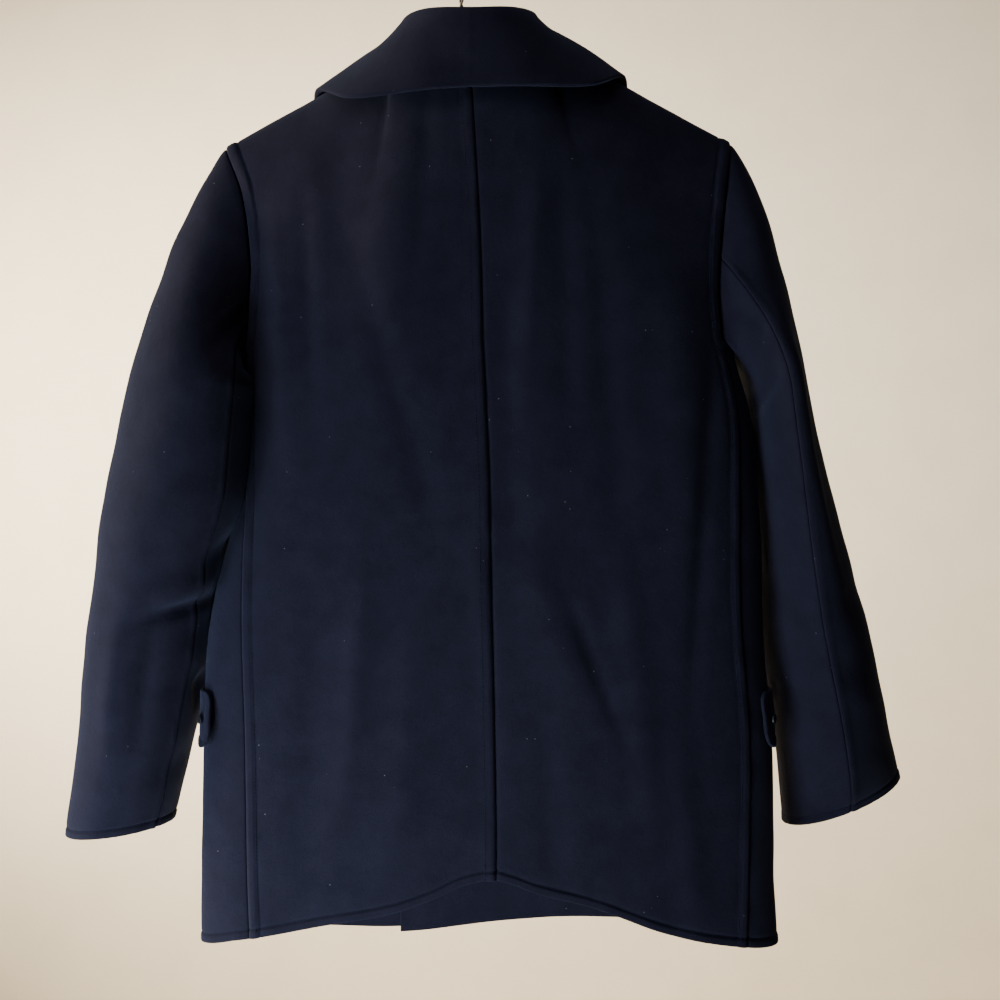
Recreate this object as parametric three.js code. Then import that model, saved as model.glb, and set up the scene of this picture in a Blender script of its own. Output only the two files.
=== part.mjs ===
// A man's double-breasted pea coat of thick wool, hanging on a wire hanger.
// Millimetres, +Z up. The origin is inside the top of the hanger's hook, where a rail or nail
// carries it. The wearer's left is +X, the back of the coat faces +Y and the buttons face -Y.
import * as THREE from 'three';
import { mergeVertices } from 'three/addons/utils/BufferGeometryUtils.js';

const { sin, cos, sqrt, abs, PI, min, max, round, asin } = Math;

// Cloth and seams
const wall = 3.2;
const seamInset = 0.2;
const layerLift = 4.2;
const lapelLift = 6.2;
const underLayer = 14;
const tuckWidth = 105;

// Heights of the body's two zones
const hemHeight = -967;
const underarm = -400;
const underarmDip = 8;
const roundness = 2.5;
const domePower = 3;

// Half of the overlap of the two fronts, to each side of the middle
const overlap = 95;

// Depth over which the hems of back and front run together at the side
const hemBlend = 30;

// The share of the back's width that the neckline takes
const neckShare = 0.375;

// Space between the sleeve's cut edge and the armhole, and below a button
const clearance = 0.5;

// Levels from the hem (up 0) to the underarm (up 1): the coat's left and right sides, the two
// side seams and the back seam across the coat, and how far back and front bulge.
const girths = [
  { up: 0.0, left: 243, leftSeam: 191, right: -306, rightSeam: -271, middle: -38, back: 50, front: 50 },
  { up: 0.1, left: 243, leftSeam: 193, right: -303, rightSeam: -273, middle: -38, back: 52, front: 51 },
  { up: 0.34, left: 241, leftSeam: 195, right: -299, rightSeam: -274, middle: -36, back: 55, front: 55 },
  { up: 0.52, left: 236, leftSeam: 198, right: -292, rightSeam: -266, middle: -34, back: 58, front: 58 },
  { up: 0.63, left: 224, leftSeam: 198, right: -290, rightSeam: -264, middle: -33, back: 60, front: 60 },
  { up: 0.74, left: 208, leftSeam: 196, right: -287, rightSeam: -264, middle: -32, back: 62, front: 62 },
  { up: 0.88, left: 200, leftSeam: 195, right: -280, rightSeam: -262, middle: -29, back: 63, front: 63 },
  { up: 1.0, left: 203, leftSeam: 196, right: -262, rightSeam: -248, middle: -26, back: 63, front: 63 },
];

// The armhole's back and front edges, from the underarm (up 0) to the shoulder point (up 1).
const armholes = [
  { up: 0.0, backLeft: 196, backRight: -248, frontLeft: 196, frontRight: -248, middle: -26 },
  { up: 0.2, backLeft: 194, backRight: -245, frontLeft: 187, frontRight: -238, middle: -25 },
  { up: 0.4, backLeft: 193, backRight: -246, frontLeft: 183, frontRight: -235, middle: -23 },
  { up: 0.74, backLeft: 202, backRight: -253, frontLeft: 193, frontRight: -244, middle: -18 },
  { up: 1.0, backLeft: 221, backRight: -261, frontLeft: 221, frontRight: -261, middle: -13 },
];

// Shoulder points, the side of the neck and the back of the neck
const shoulderPoint = { left: -213, right: -209 };
const neckSide = { left: { x: 64, z: -126 }, right: { x: -88, z: -116 } };
const neckBack = { x: -13, y: 50, z: -140 };

// The back hem arches up towards the middle seam; heights across the coat.
const backHem = [
  { x: -308, z: -971 },
  { x: -247, z: -960 },
  { x: -192, z: -946 },
  { x: -128, z: -922 },
  { x: -75, z: -908 },
  { x: -38, z: -896 },
  { x: -6, z: -901 },
  { x: 22, z: -914 },
  { x: 60, z: -927 },
  { x: 120, z: -939 },
  { x: 191, z: -955 },
  { x: 243, z: -966 },
];
const frontHem = [
  { x: -308, z: -971 },
  { x: -200, z: -962 },
  { x: -118, z: -959 },
  { x: -41, z: -964 },
  { x: 57, z: -974 },
  { x: 150, z: -970 },
  { x: 243, z: -966 },
];

// The largest folds of the back: where each runs at its top and foot, its half width and how
// far it stands out (+) or sinks in (-).
const backFolds = [
  { topX: 52, topZ: -230, footX: 56, footZ: -430, width: 30, out: 4 },
  { topX: 105, topZ: -230, footX: 108, footZ: -420, width: 22, out: -3 },
  { topX: -46, topZ: -340, footX: -50, footZ: -640, width: 16, out: -4 },
  { topX: -205, topZ: -360, footX: -214, footZ: -600, width: 24, out: 4 },
  { topX: -66, topZ: -600, footX: -120, footZ: -740, width: 24, out: 3.5 },
];

// Sleeve rings below the underarm: the middle of each ring, half its width across and front to
// back, how far its outer end hangs lower than its middle, and how far its inner end lies further
// forward.
const leftSleeve = [
  { x: 256, y: -4, z: -450, across: 59, deep: 70, drop: 4, lean: -24 },
  { x: 270, y: -6, z: -549, across: 66, deep: 66, drop: 6, lean: -20 },
  { x: 283, y: -9, z: -612, across: 62, deep: 64, drop: 8, lean: -10 },
  { x: 294.5, y: -12, z: -675, across: 61.5, deep: 61, drop: 9, lean: 0 },
  { x: 311, y: -20, z: -776, across: 57, deep: 55, drop: 11, lean: 0 },
  { x: 331.5, y: -30, z: -868, across: 51.5, deep: 46, drop: 6, lean: 0 },
];
const rightSleeve = [
  { x: -306, y: -6, z: -450, across: 29, deep: 84, drop: 4, lean: 20 },
  { x: -322.5, y: -8, z: -549, across: 36.5, deep: 82, drop: 3, lean: 34 },
  { x: -333, y: -12, z: -612, across: 44, deep: 77, drop: 0, lean: 34 },
  { x: -344.5, y: -18, z: -675, across: 50.5, deep: 70, drop: -4, lean: 24 },
  { x: -365.5, y: -30, z: -776, across: 53.5, deep: 58, drop: -9, lean: 0 },
  { x: -378.5, y: -40, z: -844, across: 56.5, deep: 47, drop: -24, lean: 0 },
];

// The least room between a sleeve and the side that it rests against, and beside the pocket flap
const rest = { side: 5, flap: 13, blend: 30 };

// How a sleeve leaves its armhole, and how far below the first ring its direction there is taken
const sleeveLeaves = { across: 0.6, down: 0.8, spread: 0.5, pull: 0.9 };
const belowRing = 30;

// The collar, from the back seam (along 0) to its front end (along 1): the way its fold faces,
// how far the stand rises and leans in, how wide the fold is, and the fall's outer edge measured
// from the middle of the neck.
const collarRows = [
  { along: 0.0, facing: 90, rise: 31, lean: 4, fold: 13, edgeX: 0, edgeY: 67, edgeZ: -179 },
  { along: 0.2, facing: 74, rise: 32, lean: 7, fold: 13, edgeX: 58, edgeY: 66, edgeZ: -181 },
  { along: 0.4, facing: 44, rise: 29, lean: 17, fold: 13, edgeX: 113, edgeY: 49, edgeZ: -177 },
  { along: 0.55, facing: 4, rise: 24, lean: 25, fold: 13, edgeX: 146, edgeY: 5, edgeZ: -154 },
  { along: 0.7, facing: -42, rise: 20, lean: 11, fold: 15, edgeX: 151, edgeY: -32, edgeZ: -177 },
  { along: 0.85, facing: -55, rise: 12, lean: 6, fold: 14, edgeX: 153, edgeY: -48, edgeZ: -203 },
  { along: 1.0, facing: -65, rise: 6, lean: 2, fold: 14, edgeX: 150, edgeY: -54, edgeZ: -227 },
];
const collarTilt = 0.047;
const collarSide = 0.55;
const rollAtCollarEnd = 0.74;
const behindRoll = 2.5;

// The lapel's width as a share of the front, and its top edge, up the roll line
const lapelRows = [
  { up: 0.0, share: 0.04 },
  { up: 0.15, share: 0.22 },
  { up: 0.4, share: 0.5 },
  { up: 0.7, share: 0.7 },
  { up: 1.0, share: 0.79 },
];
const lapelTop = [
  { share: 0.0, up: 0.715 },
  { share: 0.45, up: 0.765 },
  { share: 0.6, up: 0.765 },
  { share: 0.8, up: 0.75 },
];

// Pocket flaps: angle round the body from the back seam, and heights
const flap = { rear: 68, ahead: 152, top: -728, foot: -779, flare: 4, corner: 0.5 };

// Buttons
const button = { radius: 15, thick: 4.5, rim: 3, dish: 1.1, spread: 78, heights: [-430, -556, -682] };
const stud = { radius: 4.5, thick: 2 };

// Wire hanger
const wire = {
  radius: 1.1,
  sides: 6,
  hookRadius: 23,
  neckTop: -50,
  neckFoot: -91,
  reach: 200,
  slope: 0.52,
  endRadius: 7,
  turns: 2,
  tilt: 0.055,
};

// Places of the grid lines: up the body to the underarm and on to the shoulder, round the body,
// down the sleeves, and along and round the collar
const lowerRows = [0, 0.04, 0.13, 0.24, 0.35, 0.46, 0.56, 0.66, 0.77, 0.89, 1];
const upperRows = [1.14, 1.3, 1.46, 1.61, 1.75, 1.87, 1.955, 2];
const heights = [...lowerRows, ...upperRows];
const armRow = lowerRows.length - 1;
const backColumns = 8;
const sideColumns = 10;
const frontColumns = 10;
const capRows = 6;
const armRows = 8;
const collarAlong = [0, 0.1, 0.2, 0.3, 0.4, 0.475, 0.55, 0.625, 0.7, 0.775, 0.85, 0.925, 1];
const collarAcross = [0, 0.17, 0.3, 0.4, 0.5, 0.6, 0.73, 0.87, 1];
const lapelSteps = { up: 9, across: 6 };
const flapSteps = { down: 4, ahead: 12 };

// Columns at which the two pieces of each sleeve meet, behind and in front of the arm
const sleeveSeams = { left: { behind: 10, ahead: 21 }, right: { behind: 6, ahead: 19 } };

const colours = {
  melton: new THREE.Color(0x10131f),
  button: new THREE.Color(0x0b0c12),
  steel: new THREE.Color(0x6d6555),
};

function material(slot) {
  const looks = {
    melton: { roughness: 0.95, metalness: 0 },
    button: { roughness: 0.35, metalness: 0 },
    steel: { roughness: 0.4, metalness: 1 },
  };
  return new THREE.MeshStandardMaterial({ color: colours[slot], ...looks[slot] });
}

const lerp = (a, b, t) => a + (b - a) * t;
const clamp01 = (t) => min(1, max(0, t));
const smooth = (t) => clamp01(t) ** 2 * (3 - 2 * clamp01(t));
const steps = (from, to, count) => Array.from({ length: count + 1 }, (_, i) => lerp(from, to, i / count));

// The value of a table's column at a key, on a smooth curve through its rows.
function read(rows, key, column, at) {
  const last = rows.length - 1;
  let i = 0;
  while (i < last - 1 && at > rows[i + 1][key]) i += 1;
  const slope = (k) => {
    const a = rows[max(0, k - 1)];
    const b = rows[min(last, k + 1)];
    return (b[column] - a[column]) / (b[key] - a[key]);
  };
  const span = rows[i + 1][key] - rows[i][key];
  const t = clamp01((at - rows[i][key]) / span);
  const start = rows[i][column] * (2 * t ** 3 - 3 * t * t + 1) + rows[i + 1][column] * (3 * t * t - 2 * t ** 3);
  return start + span * (slope(i) * (t ** 3 - 2 * t * t + t) + slope(i + 1) * (t ** 3 - t * t));
}

// Signed power, for the rounded section of the body
const bend = (v) => Math.sign(v) * abs(v) ** (2 / roundness);

// The body below the underarm. Side is 'left' or 'right', angle runs in degrees from 0 at the
// back seam over 90 at the side to 180 at the middle of the front.
function ring(side, angle, up) {
  const middle = read(girths, 'up', 'middle', up);
  const half = read(girths, 'up', side, up) - middle;
  const turn = (angle * PI) / 180;
  const deep = cos(turn) > 0 ? read(girths, 'up', 'back', up) : read(girths, 'up', 'front', up);
  const x = middle + half * bend(sin(turn));
  return lowerPoint(x, deep * bend(cos(turn)), up);
}

function lowerPoint(x, y, up) {
  const hem = y > 0 ? read(backHem, 'x', 'z', x) : read(frontHem, 'x', 'z', x);
  const side = min(1, abs(y) / hemBlend);
  const hemHere = lerp(hemHeight, hem, side);
  return new THREE.Vector3(x, y, lerp(hemHere, underarm, up));
}

// The angle at which the side seam runs at a level.
function seamAngle(side, up) {
  const middle = read(girths, 'up', 'middle', up);
  const share = (read(girths, 'up', `${side}Seam`, up) - middle) / (read(girths, 'up', side, up) - middle);
  return (asin(share ** (roundness / 2)) * 180) / PI;
}

// How far the front stands out at a place across the coat, below the underarm.
function frontDepth(x, up) {
  const middle = read(girths, 'up', 'middle', up);
  const edge = read(girths, 'up', x > middle ? 'left' : 'right', up);
  const share = min(1, abs((x - middle) / (edge - middle)));
  return -read(girths, 'up', 'front', up) * (1 - share ** roundness) ** (1 / roundness);
}

const sideSign = (side) => (side === 'left' ? 1 : -1);
const dome = (up) => sqrt(max(0, 1 - up ** domePower));

// The folds that the cloth of the back falls in.
function foldOut(x, z) {
  return backFolds.reduce((sum, fold) => {
    const along = (z - fold.footZ) / (fold.topZ - fold.footZ);
    const centre = lerp(fold.footX, fold.topX, along);
    const fade = smooth((along + 0.25) / 0.5) * smooth((1.25 - along) / 0.5);
    return sum + fold.out * fade * Math.exp(-(((x - centre) / fold.width) ** 2));
  }, 0);
}

// The top edge of the back: the neckline from its middle to the side of the neck, then the
// shoulder seam.
function shoulderLine(side, share) {
  const neck = neckSide[side];
  if (share < neckShare) {
    const turn = ((share / neckShare) * PI) / 2;
    return new THREE.Vector3(
      lerp(neckBack.x, neck.x, sin(turn)),
      neckBack.y * cos(turn),
      lerp(neck.z, neckBack.z, cos(turn)),
    );
  }
  const out = (share - neckShare) / (1 - neckShare);
  const edge = read(armholes, 'up', side === 'left' ? 'backLeft' : 'backRight', 1);
  return new THREE.Vector3(lerp(neck.x, edge, out), 0, lerp(neck.z, shoulderPoint[side], out));
}

// The back above the underarm; share runs from the back seam (0) to the armhole (1).
function upperBack(side, share, up) {
  const foot = ring(side, share * seamAngle(side, 1), 1);
  const top = shoulderLine(side, share);
  const column = side === 'left' ? 'backLeft' : 'backRight';
  const middle = read(armholes, 'up', 'middle', up);
  const edge = read(armholes, 'up', column, up);
  const footMiddle = read(armholes, 'up', 'middle', 0);
  const footShare = (foot.x - footMiddle) / (read(armholes, 'up', column, 0) - footMiddle);
  const topShare = (top.x - neckBack.x) / (read(armholes, 'up', column, 1) - neckBack.x);
  const x = lerp(middle, edge, lerp(footShare, topShare, smooth(up)));
  return new THREE.Vector3(x, lerp(top.y, foot.y, dome(up)), lerp(foot.z, top.z, up));
}

// A point of the back, folds included; up runs from 0 at the hem to 1 at the underarm and on to
// 2 at the shoulder.
function backPoint(side, share, up) {
  const point = up <= 1 ? ring(side, share * seamAngle(side, up), up) : upperBack(side, share, up - 1);
  point.y += foldOut(point.x, point.z) * (1 - share ** 6);
  return point;
}

// The front's free edge, straight below the underarm and the roll line of the lapel above it.
function frontEdge(side, up) {
  const across = sideSign(side) * overlap;
  if (up <= 1) return read(girths, 'up', 'middle', up) - across;
  return lerp(read(girths, 'up', 'middle', 1) - across, neckSide[side].x, up - 1);
}

// How far the right front is tucked in, where the left one lies over it.
function tucked(side, x, up) {
  return side === 'left' ? 0 : underLayer * smooth((x - frontEdge('left', up) + 6) / tuckWidth + 1);
}

// A point of the front between its armhole column (share 0) and its free edge (share 1).
function frontPoint(side, share, up) {
  const level = min(up, 1);
  const climb = max(0, up - 1);
  const column = side === 'left' ? 'frontLeft' : 'frontRight';
  const angle = 180 - seamAngle(side, level);
  const start = up <= 1 ? ring(side, angle, level).x : read(armholes, 'up', column, climb);
  const x = lerp(start, frontEdge(side, up), share);
  if (up <= 1) {
    const low = lowerPoint(x, frontDepth(x, up), up);
    low.y += tucked(side, x, up);
    return low;
  }
  const footX = lerp(read(armholes, 'up', column, 0), frontEdge(side, 1), share);
  const topZ = lerp(shoulderPoint[side], neckSide[side].z, share);
  const y = frontDepth(footX, 1) * dome(climb) + tucked(side, x, up);
  return new THREE.Vector3(x, y, lerp(underarm, topZ, climb));
}

// The strip under the arm, between the side seam (share 0) and the front armhole column.
function sidePoint(side, share, up) {
  const seam = seamAngle(side, up);
  const point = ring(side, lerp(seam, 180 - seam, share), up);
  point.z -= underarmDip * sin(share * PI) * up;
  return point;
}

// Whether a grid has a cell, and whether that cell is kept.
function cellTest(grid, kept) {
  const rows = grid.length - 1;
  const columns = grid[0].length - 1;
  return (i, j) => i >= 0 && j >= 0 && i < rows && j < columns && kept(i, j);
}

// Vectors from the outer to the inner face of a wall, along the normals of the kept cells. A tube
// has the same points in its first and last column.
function inward(grid, sign, { kept = () => true, tube = false } = {}) {
  const has = cellTest(grid, kept);
  const last = grid[0].length - 1;
  return grid.map((row, i) =>
    row.map((point, j) => {
      const above = has(i, j) || has(i, j - 1) ? grid[i + 1][j] : point;
      const below = has(i - 1, j) || has(i - 1, j - 1) ? grid[i - 1][j] : point;
      let after = has(i, j) || has(i - 1, j) ? row[j + 1] : point;
      let before = has(i, j - 1) || has(i - 1, j - 1) ? row[j - 1] : point;
      if (tube && j === 0) before = row[last - 1];
      if (tube && j === last) after = row[1];
      return after.clone().sub(before).cross(above.clone().sub(below)).setLength(-sign * wall);
    }),
  );
}

// How far a point on a free edge is drawn in along the lines of the grid. A point in an inner
// corner, where only one cell is missing, is drawn towards the other three.
function drawnIn(grid, has, i, j) {
  const point = grid[i][j];
  const towards = (other) => other.clone().sub(point).setLength(seamInset);
  const cells = [[i - 1, j - 1], [i - 1, j], [i, j - 1], [i, j]].filter(([a, b]) => has(a, b));
  const inset = new THREE.Vector3();
  if (cells.length === 3) {
    const gone = [[i - 1, j - 1], [i - 1, j], [i, j - 1], [i, j]].find(([a, b]) => !has(a, b));
    return inset.sub(towards(grid[gone[0] < i ? i - 1 : i + 1][gone[1] < j ? j - 1 : j + 1]));
  }
  const touches = (rows, columns) => cells.some(([a, b]) => rows.includes(a) && columns.includes(b));
  const both = [[i - 1, i], [j - 1, j]];
  if (!touches(both[0], [j - 1])) inset.add(towards(grid[i][j + 1]));
  if (!touches(both[0], [j])) inset.add(towards(grid[i][j - 1]));
  if (!touches([i - 1], both[1])) inset.add(towards(grid[i + 1][j]));
  if (!touches([i], both[1])) inset.add(towards(grid[i - 1][j]));
  return inset;
}

// A wall of cloth on the kept cells of a grid. The outer points are the grid's own, the inner
// ones lie at the given depths, and the free edges are drawn in by the seam inset.
function clothWall(grid, sign, { kept = () => true, depths = inward(grid, sign, { kept }) } = {}) {
  const has = cellTest(grid, kept);
  const positions = [];
  const index = [];
  const number = new Map();
  const vertex = (i, j) => {
    const key = `${i} ${j}`;
    if (!number.has(key)) {
      const outer = grid[i][j].clone().add(drawnIn(grid, has, i, j));
      number.set(key, positions.length / 3);
      positions.push(...outer.toArray(), ...outer.add(depths[i][j]).toArray());
    }
    return number.get(key);
  };
  const face = (a, b, c) => (sign > 0 ? index.push(a, b, c) : index.push(a, c, b));
  // Walls that meet at a seam split the faces of their cut edges along the same diagonals.
  const rim = (from, to) => {
    face(from, from + 1, to + 1);
    face(from, to + 1, to);
  };
  const farRim = (from, to) => {
    face(from, from + 1, to);
    face(from + 1, to + 1, to);
  };
  grid.slice(1).forEach((_, i) => {
    grid[0].slice(1).forEach((__, j) => {
      if (!has(i, j)) return;
      const [a, b, c, d] = [vertex(i, j), vertex(i, j + 1), vertex(i + 1, j + 1), vertex(i + 1, j)];
      face(a, b, c);
      face(a, c, d);
      face(a + 1, c + 1, b + 1);
      face(a + 1, d + 1, c + 1);
      if (!has(i - 1, j)) rim(a, b);
      if (!has(i, j + 1)) rim(b, c);
      if (!has(i + 1, j)) farRim(c, d);
      if (!has(i, j - 1)) farRim(d, a);
    });
  });
  return solid(positions, index);
}

function solid(positions, index) {
  const geometry = new THREE.BufferGeometry();
  geometry.setAttribute('position', new THREE.Float32BufferAttribute(positions, 3));
  geometry.setIndex(index);
  geometry.computeVertexNormals();
  return geometry;
}

// The cells of the front's grid that are cloth: the strip under the arm ends at the armhole.
const keptOfFront = (i, j) => i < armRow || j >= sideColumns;

// The grids of one half of the body with the depths of their walls. Seams share their depths,
// so that the cut edges on both sides of a seam are parallel.
function bodyHalf(side) {
  const sign = -sideSign(side);
  const top = heights.length - 1;
  const back = heights.map((up) => steps(0, 1, backColumns).map((share) => backPoint(side, share, up)));
  const front = heights.map((up) => [
    ...steps(0, 1, sideColumns).slice(0, -1).map((share) => sidePoint(side, share, min(up, 1))),
    ...steps(0, 1, frontColumns).map((share) => frontPoint(side, share, up)),
  ]);
  const backDepths = inward(back, sign);
  const frontDepths = inward(front, sign, { kept: keptOfFront });
  backDepths.forEach((row) => row[0].setX(0).setLength(wall));
  for (let i = 0; i <= armRow; i += 1) {
    const shared = backDepths[i][backColumns].clone().add(frontDepths[i][0]).setLength(wall);
    backDepths[i][backColumns] = shared;
    frontDepths[i][0] = shared;
  }
  const firstOnShoulder = round(neckShare * backColumns);
  backDepths[top].slice(firstOnShoulder).forEach((depth) => depth.setY(0).setLength(wall));
  frontDepths[top].slice(sideColumns).forEach((depth) => depth.setY(0).setLength(wall));
  return { sign, back, front, backDepths, frontDepths };
}

// The loop of the armhole: from the shoulder down the back, under the arm and up the front. Each
// place has its outer point, the body's outward normal and the way out of the body's cloth.
function armholeLoop({ back, front, backDepths, frontDepths }) {
  const top = heights.length - 1;
  const place = (point, depth, away) => ({ point, out: depth.clone().setLength(-1), away });
  const awayFrom = (row, edge, next) => row[edge].clone().sub(row[next]).normalize();
  const loop = [];
  for (let i = top; i > armRow; i -= 1) {
    const away = awayFrom(back[i], backColumns, backColumns - 1);
    loop.push(place(back[i][backColumns], backDepths[i][backColumns], away));
  }
  for (let j = 0; j <= sideColumns; j += 1) {
    loop.push(place(front[armRow][j], frontDepths[armRow][j], new THREE.Vector3(0, 0, 1)));
  }
  for (let i = armRow + 1; i <= top; i += 1) {
    const away = awayFrom(front[i], sideColumns, sideColumns + 1);
    loop.push(place(front[i][sideColumns], frontDepths[i][sideColumns], away));
  }
  return loop;
}

// A point of a sleeve, moved out to where it rests against the side of the body.
function restOnSide(side, point) {
  const up = (point.z - hemHeight) / (underarm - hemHeight);
  if (up > 1) return point;
  const middle = read(girths, 'up', 'middle', up);
  const deep = read(girths, 'up', point.y > 0 ? 'back' : 'front', up);
  const share = (1 - min(1, abs(point.y / deep)) ** roundness) ** (1 / roundness);
  const room = lerp(rest.side, rest.flap, smooth((flap.top + rest.blend - point.z) / rest.blend));
  const edge = lerp(middle, read(girths, 'up', side, up), share) + sideSign(side) * room;
  if (sideSign(side) * (point.x - edge) < 0) point.x = edge;
  return point;
}

// A point on the sleeve's rings below the underarm; turn 0 is its outer side, 90 degrees its back.
function sleeveRing(side, table, turn, down) {
  const get = (column) => read(table, 'z', column, down);
  const across = sideSign(side) * get('across') * cos(turn);
  const lower = get('drop') * cos(turn);
  const y = get('y') + get('deep') * sin(turn) - (get('lean') * (1 - cos(turn))) / 2;
  return restOnSide(side, new THREE.Vector3(get('x') + across, y, down - lower));
}

function sleeveGrid(side, loop) {
  const table = (side === 'left' ? leftSleeve : rightSleeve).slice().reverse();
  const ringTop = table[table.length - 1].z;
  const cuff = table[0].z;
  const lengths = [0];
  for (let i = 1; i < loop.length; i += 1) {
    lengths.push(lengths[i - 1] + loop[i].point.distanceTo(loop[i - 1].point));
  }
  const turns = lengths.map((length) => (2 * PI * length) / lengths[loop.length - 1]);
  const leave = new THREE.Vector3(sideSign(side) * sleeveLeaves.across, 0, -sleeveLeaves.down);
  const leaving = turns.map((turn) => leave.clone().setY(sleeveLeaves.spread * sin(turn)));
  const starts = loop.map(({ point, out, away }) => {
    const clear = leave.dot(away) > 0.2 ? away : out;
    return point.clone().addScaledVector(clear, clearance);
  });
  const grid = [];
  for (let i = 0; i < capRows; i += 1) {
    const t = i / capRows;
    grid.push(
      starts.map((start, j) => {
        const end = sleeveRing(side, table, turns[j], ringTop);
        const below = sleeveRing(side, table, turns[j], ringTop - belowRing);
        const chord = start.distanceTo(end) * sleeveLeaves.pull;
        const arrive = below.sub(end).setLength(chord);
        const point = new THREE.Vector3()
          .addScaledVector(start, 2 * t ** 3 - 3 * t * t + 1)
          .addScaledVector(leaving[j], chord * (t ** 3 - 2 * t * t + t))
          .addScaledVector(end, 3 * t * t - 2 * t ** 3)
          .addScaledVector(arrive, t ** 3 - t * t);
        return i === 0 ? point : restOnSide(side, point);
      }),
    );
  }
  for (let i = 0; i <= armRows; i += 1) {
    grid.push(turns.map((turn) => sleeveRing(side, table, turn, lerp(ringTop, cuff, i / armRows))));
  }
  // The wall at the armhole keeps to the sleeve's own side of the seam.
  const depths = inward(grid, sideSign(side), { tube: true });
  loop.forEach(({ away, out }, j) => {
    const clear = leave.dot(away) > 0.2 ? away : out;
    depths[0][j].addScaledVector(clear, max(0, -depths[0][j].dot(clear)));
  });
  return { grid, depths };
}

// The under sleeve lies between the two seams, and the top sleeve goes round the outer side.
function sleevePieces(side, loop) {
  const { grid, depths } = sleeveGrid(side, loop);
  const { behind, ahead } = sleeveSeams[side];
  const under = (rows) => rows.map((row) => row.slice(behind, ahead + 1));
  const over = (rows) => rows.map((row) => [...row.slice(ahead), ...row.slice(1, behind + 1)]);
  const sign = sideSign(side);
  return {
    under: clothWall(under(grid), sign, { depths: under(depths) }),
    over: clothWall(over(grid), sign, { depths: over(depths) }),
  };
}

// The neck edge that the collar is sewn to, as a point on the panels' inner face, with the
// direction in which the wall runs on.
function neckEdge(side, along) {
  if (along <= collarSide) {
    const share = (along / collarSide) * neckShare;
    const point = backPoint(side, share, 2);
    const below = backPoint(side, share, 1.97);
    const turn = ((along / collarSide) * PI) / 2;
    const facing = new THREE.Vector3(sideSign(side) * sin(turn), cos(turn), 0);
    return point.addScaledVector(facing, -wall).add(point.clone().sub(below).setLength(0.01));
  }
  const roll = lerp(1, rollAtCollarEnd, (along - collarSide) / (1 - collarSide));
  return frontPoint(side, 1, 1 + roll);
}

// A point of the collar; around runs from the neck seam (0) over the fold to the outer edge (1).
function collarPoint(side, along, around) {
  const get = (column) => read(collarRows, 'along', column, along);
  const sign = sideSign(side);
  const turn = (get('facing') * PI) / 180;
  const outward = new THREE.Vector3(sign * cos(turn), sin(turn), 0);
  const up = new THREE.Vector3(0, 0, 1);
  const inside = -behindRoll * smooth((along - 0.5) * 8);
  const neck = neckEdge(side, along).addScaledVector(outward, inside).addScaledVector(up, 0.8);
  const rise = neck.clone().addScaledVector(up, get('rise')).addScaledVector(outward, -get('lean'));
  const crest = rise.clone().addScaledVector(outward, get('fold') / 2).addScaledVector(up, 5);
  const turnDown = rise.clone().addScaledVector(outward, get('fold')).addScaledVector(up, -2);
  const edge = new THREE.Vector3(
    neckBack.x + sign * get('edgeX'),
    get('edgeY'),
    get('edgeZ') - sign * get('edgeX') * collarTilt,
  );
  const belly = turnDown.clone().lerp(edge, 0.5).addScaledVector(up, 2);
  const section = [neck, rise, crest, turnDown, belly, edge];
  return new THREE.CatmullRomCurve3(section, false, 'centripetal').getPoint(around);
}

function collarGrid() {
  const left = collarAlong.map((at) => collarAcross.map((around) => collarPoint('left', at, around)));
  const right = collarAlong.slice(1).map((at) => collarAcross.map((around) => collarPoint('right', at, around)));
  return [...right.reverse(), ...left];
}

// A place on the facets of the front, moved out by a lift; share runs from the armhole column (0)
// to the free edge (1).
function onFront({ front, frontDepths }, share, up, lift) {
  const row = min(heights.length - 2, max(0, heights.findIndex((level) => level > up) - 1));
  const column = min(frontColumns - 1, Math.floor(share * frontColumns));
  const rise = (up - heights[row]) / (heights[row + 1] - heights[row]);
  const across = share * frontColumns - column;
  const between = (rows) => {
    const [low, high] = [rows[row], rows[row + 1]];
    const start = low[sideColumns + column].clone().lerp(low[sideColumns + column + 1], across);
    const end = high[sideColumns + column].clone().lerp(high[sideColumns + column + 1], across);
    return start.lerp(end, rise);
  };
  return between(front).addScaledVector(between(frontDepths).normalize(), -lift);
}

// The lapel lies on its front, turned back from the roll line.
function lapelGrid(body) {
  return steps(0, 1, lapelSteps.up).map((rise) =>
    steps(0, 1, lapelSteps.across).map((across) => {
      const share = across * read(lapelRows, 'up', 'share', rise);
      const up = 1 + rise * read(lapelTop, 'share', 'up', share);
      return onFront(body, 1 - share, up, lapelLift);
    }),
  );
}

// The pocket flap wraps the side of the front, with a rounded rear corner that lifts away.
function flapGrid(side) {
  return steps(0, 1, flapSteps.down).map((down) =>
    steps(0, 1, flapSteps.ahead).map((ahead) => {
      const up = (lerp(flap.top, flap.foot, down) - hemHeight) / (underarm - hemHeight);
      const corner = flap.corner * (1 - sqrt(1 - abs(2 * down - 1) ** 3)) * (1 - smooth(ahead * 4));
      const angle = lerp(flap.rear + corner * 12, flap.ahead, ahead);
      const point = ring(side, angle, up);
      const next = ring(side, angle + 1, up);
      const before = ring(side, angle - 1, up);
      const lift = layerLift + flap.flare * (1 - smooth(ahead * 5)) * smooth(down * 2);
      const out = new THREE.Vector3(next.y - before.y, before.x - next.x, 0).normalize();
      if (out.x * sideSign(side) < 0) out.negate();
      point.z = lerp(flap.top, flap.foot, down);
      return point.addScaledVector(out, lift);
    }),
  );
}

function place(name, slot, geometry) {
  const mesh = new THREE.Mesh(geometry, material(slot));
  mesh.name = name;
  return mesh;
}

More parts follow.
